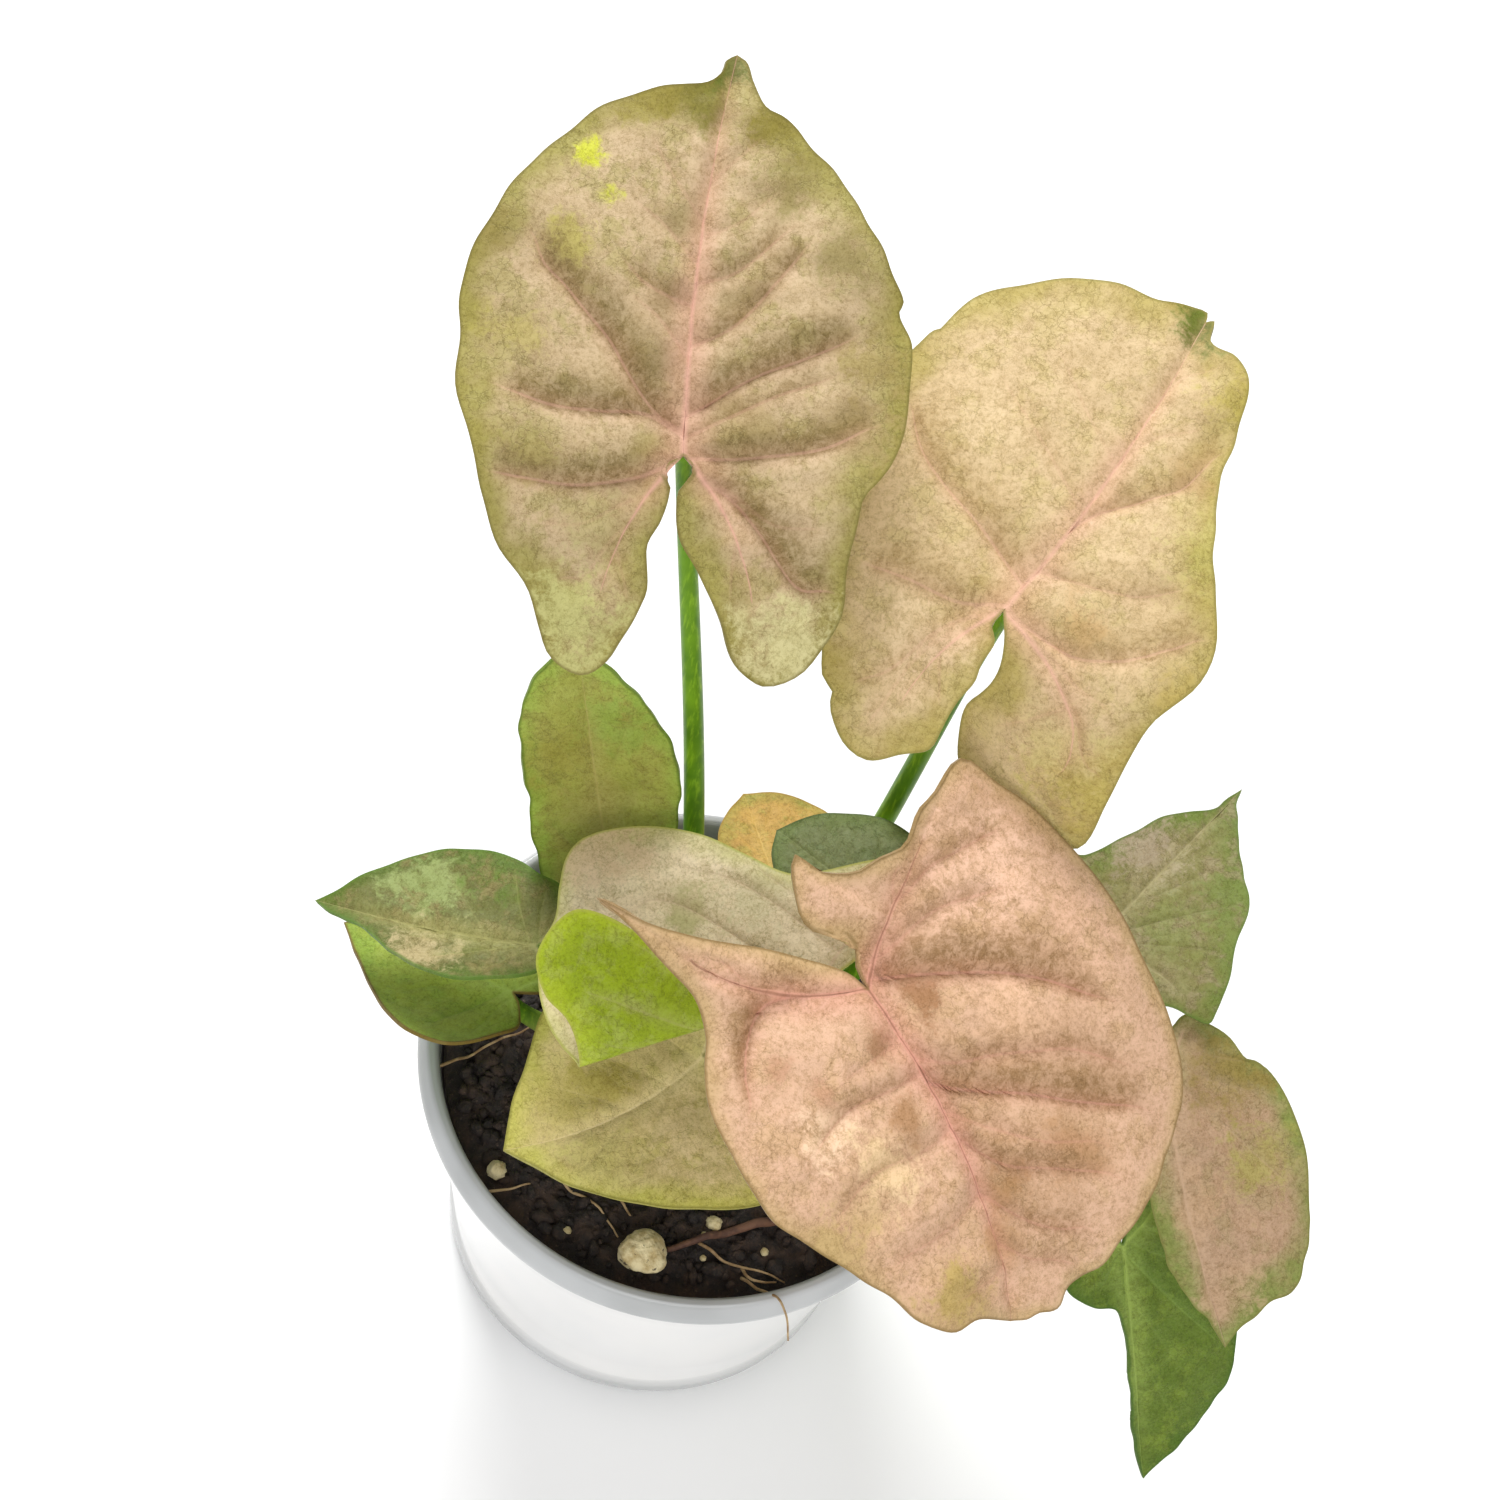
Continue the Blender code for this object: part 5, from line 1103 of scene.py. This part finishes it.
def makeGrain(material):
    # a rounded crumb, its surface pushed in and out by waves as the solid's is, and by smaller dents
    unit, faces = sphereGrid(40, 56)
    x, y, z = unit.T
    swell = 1 + 0.09 * np.sin(3.1 * x + 1.0) * np.sin(2.7 * y) + 0.07 * np.sin(4.3 * z + 2.0 * x)
    dent = 0.03 * np.sin(11 * x + 3 * z) * np.sin(9 * y + 1.0)
    dent += 0.02 * np.sin(19 * z - 8 * x) * np.sin(17 * y)
    points = unit * (swell + dent)[:, None] * grainLook["radius"] * np.array([1.0, 0.9, 0.8])
    points += np.array([grainLook["x"], grainLook["y"], 0.0])
    lift = soilHeight(points[:, 0], points[:, 1]) - points[:, 2]
    points[:, 2] += lift.max() + grainLook["clearance"] - 0.3
    return makeMesh("perlite_grain", points, faces, [material], "perlite")


# What lies on the soil: bare roots, and one dry twig. A run is (across, deep, height over the soil) points,
# and the strand's radius goes from first to last along it.
rootLook = dict(first=0.21, last=0.1, pale="#b59a72", dark="#8a6c48", runs=[
    [(-29.6, -11.9, 2.6), (-26.6, -8.6, 0.9), (-22.5, -4.4, 0.7), (-18.6, -0.8, 0.4)],
    [(-12.0, -18.4, 0.2), (-9.4, -20.4, 0.7), (-6.4, -21.2, 0.5), (-4.4, -22.6, 0.7), (-2.2, -24.2, 0.3)],
    [(-4.6, -18.8, 0.2), (-3.0, -20.4, 0.8), (-1.4, -21.8, 0.5)],
    [(6.5, -22.1, 0.5), (10.4, -23.2, 0.8), (14.1, -23.5, 1.0), (17.4, -23.3, 0.4)],
    [(-19.4, -24.2, 0.8), (-17.0, -22.9, 0.9), (-14.2, -21.2, 0.4)],
    [(12.4, -24.6, 0.5), (14.6, -25.8, 1.6), (16.9, -27.4, 4.7), (18.4, -29.2, 4.4), (19.4, -31.0, 2.6)],
    [(12.2, -23.4, 0.5), (13.2, -24.8, 1.5), (15.0, -24.6, 1.3), (16.4, -23.9, 0.6)]])
twigLook = dict(first=0.35, last=0.6, pale="#6d4c38", dark="#4d3226", runs=[
    [(3.2, -24.2, 1.0), (7.2, -21.4, 1.3), (11.0, -18.9, 1.3), (15.0, -16.2, 1.0)]])
strandSteps = 30
strandSides = 10


def strandMaterial(name, look):
    # A dry root or twig: a dull woody skin, browner in patches.
    material, tree, shader = newMaterial(name)
    place = addNode(tree, "ShaderNodeTexCoord").outputs["Object"]
    stain = noise(tree, place, 1.8 * toMetres, 3, 0.6, 6.0)
    colour = mixColour(tree, ramp(tree, stain, 0.42, 0.62), look["pale"], look["dark"])
    tree.links.new(colour, shader.inputs["Base Color"])
    shader.inputs["Roughness"].default_value = 0.75
    return material


def layStrands(name, look, material):
    # round strands along curves over the mound of the soil
    points, faces, count = [], [], 0
    for run in look["runs"]:
        knots = np.array(run)
        at = np.linspace(0, 1, strandSteps)
        place = smoothCurve(knots[:, :2], [0, len(run) - 1], [strandSteps - 1])
        height = soilHeight(place[:, 0], place[:, 1])
        height = height + np.interp(at, np.linspace(0, 1, len(run)), knots[:, 2])
        radii = np.linspace(look["first"], look["last"], strandSteps)
        p, f = tube(np.column_stack([place, height]), radii, strandSides)
        points.append(p)
        faces.append(f + count)
        count += len(p)
    return makeMesh(name, np.vstack(points), np.vstack(faces), [material])


# placed holds the flecks that the photo shows: (across, deep, radius).
fleckLook = dict(count=26, fromRim=6.0, sizes=(0.25, 0.6), placed=[(-18.4, -20.6, 1.15), (7.6, -19.4, 0.95)])


def makeFlecks(material):
    # smaller perlite: dented grains on the soil, the first ones placed and the rest strewn by a seeded draw
    rng = np.random.default_rng(5)
    unit, faces = sphereGrid(10, 14)
    count = fleckLook["count"]
    reach = (potLook["rimRadius"] - fleckLook["fromRim"]) * np.sqrt(rng.uniform(0, 1, count))
    turn = rng.uniform(0, 2 * np.pi, count)
    place = np.column_stack([reach * np.cos(turn), reach * np.sin(turn)])
    size = rng.uniform(*fleckLook["sizes"], count)
    placed = np.array(fleckLook["placed"])
    place[:len(placed)] = placed[:, :2]
    size[:len(placed)] = placed[:, 2]
    dent = 1 + 0.14 * rng.uniform(-1, 1, (count, len(unit)))
    local = unit[None] * dent[..., None] * size[:, None, None] * np.array([1.0, 1.0, 0.85])
    centre = np.column_stack([place, soilHeight(place[:, 0], place[:, 1]) + 0.75 * size + 0.2])
    points = (local + centre[:, None]).reshape(-1, 3)
    return makeMesh("perlite_flecks", points, copiedFaces(faces, count, len(unit)), [material])


floorLook = dict(size=3.0, colour="#f4f4f4", roughness=0.9)


def makeStage():
    # a plain pale floor; its size is metres
    size = floorLook["size"]
    mesh = bpy.data.meshes.new("floor")
    corners = [(-size, -size, 0), (size, -size, 0), (size, size, 0), (-size, size, 0)]
    mesh.from_pydata(corners, [], [(0, 1, 2, 3)])
    floor = bpy.data.objects.new("floor", mesh)
    scene.collection.objects.link(floor)
    material, tree, shader = newMaterial("pale_floor")
    shader.inputs["Base Color"].default_value = linear(floorLook["colour"])
    shader.inputs["Roughness"].default_value = floorLook["roughness"]
    mesh.materials.append(material)


# Places and sizes are metres here, and power is watts.
lightLook = dict(
    lamps=dict(key=dict(place=(-0.3, 0.6, 0.75), size=0.5, power=9.0),
               fill=dict(place=(0.2, -0.8, 0.6), size=0.9, power=5.5)),
    aim=(0, 0, 0.07), sky=0.58)


def addLight(name, place, size, power):
    # a round soft lamp that faces lightLook's aim
    data = bpy.data.lights.new(name, "AREA")
    data.shape = "DISK"
    data.size = size
    data.energy = power
    light = bpy.data.objects.new(name, data)
    scene.collection.objects.link(light)
    light.location = place
    way = np.array(lightLook["aim"]) - np.array(place)
    light.rotation_euler = Vector(way.tolist()).to_track_quat("-Z", "Y").to_euler()


# right and up are the directions of the picture's sides. All of these were fitted to the pot in the photo.
cameraLook = dict(eye=(-4.6, -175.1, 409.4), right=(0.956, 0.251, 0.151), up=(-0.292, 0.820, 0.493),
                  lens=80.8)


def makeCamera():
    # stands at the eye and looks along minus the cross product of right and up
    data = bpy.data.cameras.new("camera")
    data.sensor_width = 36.0
    data.lens = cameraLook["lens"]
    data.clip_start = 0.01
    camera = bpy.data.objects.new("camera", data)
    scene.collection.objects.link(camera)
    right, up = cameraLook["right"], cameraLook["up"]
    back = np.cross(right, up)
    camera.matrix_world = Matrix([
        [right[k], up[k], back[k], cameraLook["eye"][k] * toMetres] for k in range(3)] + [[0, 0, 0, 1]])
    scene.camera = camera


def makeLights():
    # a soft key from behind and above, a wide fill from the front, and a white sky
    for name, look in lightLook["lamps"].items():
        addLight(name, **look)
    world = bpy.data.worlds.new("studio")
    world.use_nodes = True
    sky = world.node_tree.nodes["Background"]
    sky.inputs[0].default_value = (1, 1, 1, 1)
    sky.inputs[1].default_value = lightLook["sky"]
    scene.world = world


for number, (letter, leaf) in enumerate(leaves.items()):
    size = leaf["length"] / fullLength
    makeBlade(letter, leaf, bladeMaterials(
        letter, leaf["look"], leaf.get("patches", []), max(size, 0.5), number * 3.7))
print("blades", flush=True)
skin = stalkMaterial()
for letter, leaf in leaves.items():
    makeStalk(letter, leaf, skin)
print("stalks", flush=True)
makePot()
peat = soilMaterial()
makeSoil(peat)
makeCrumbs(peat)
chalk = grainMaterial()
makeGrain(chalk)
makeFlecks(chalk)
layStrands("bare_roots", rootLook, strandMaterial("bare_root", rootLook))
layStrands("dry_twig", twigLook, strandMaterial("dry_twig", twigLook))
print("pot and soil", flush=True)
makeStage()
makeCamera()
makeLights()
scene.view_settings.view_transform = "Standard"
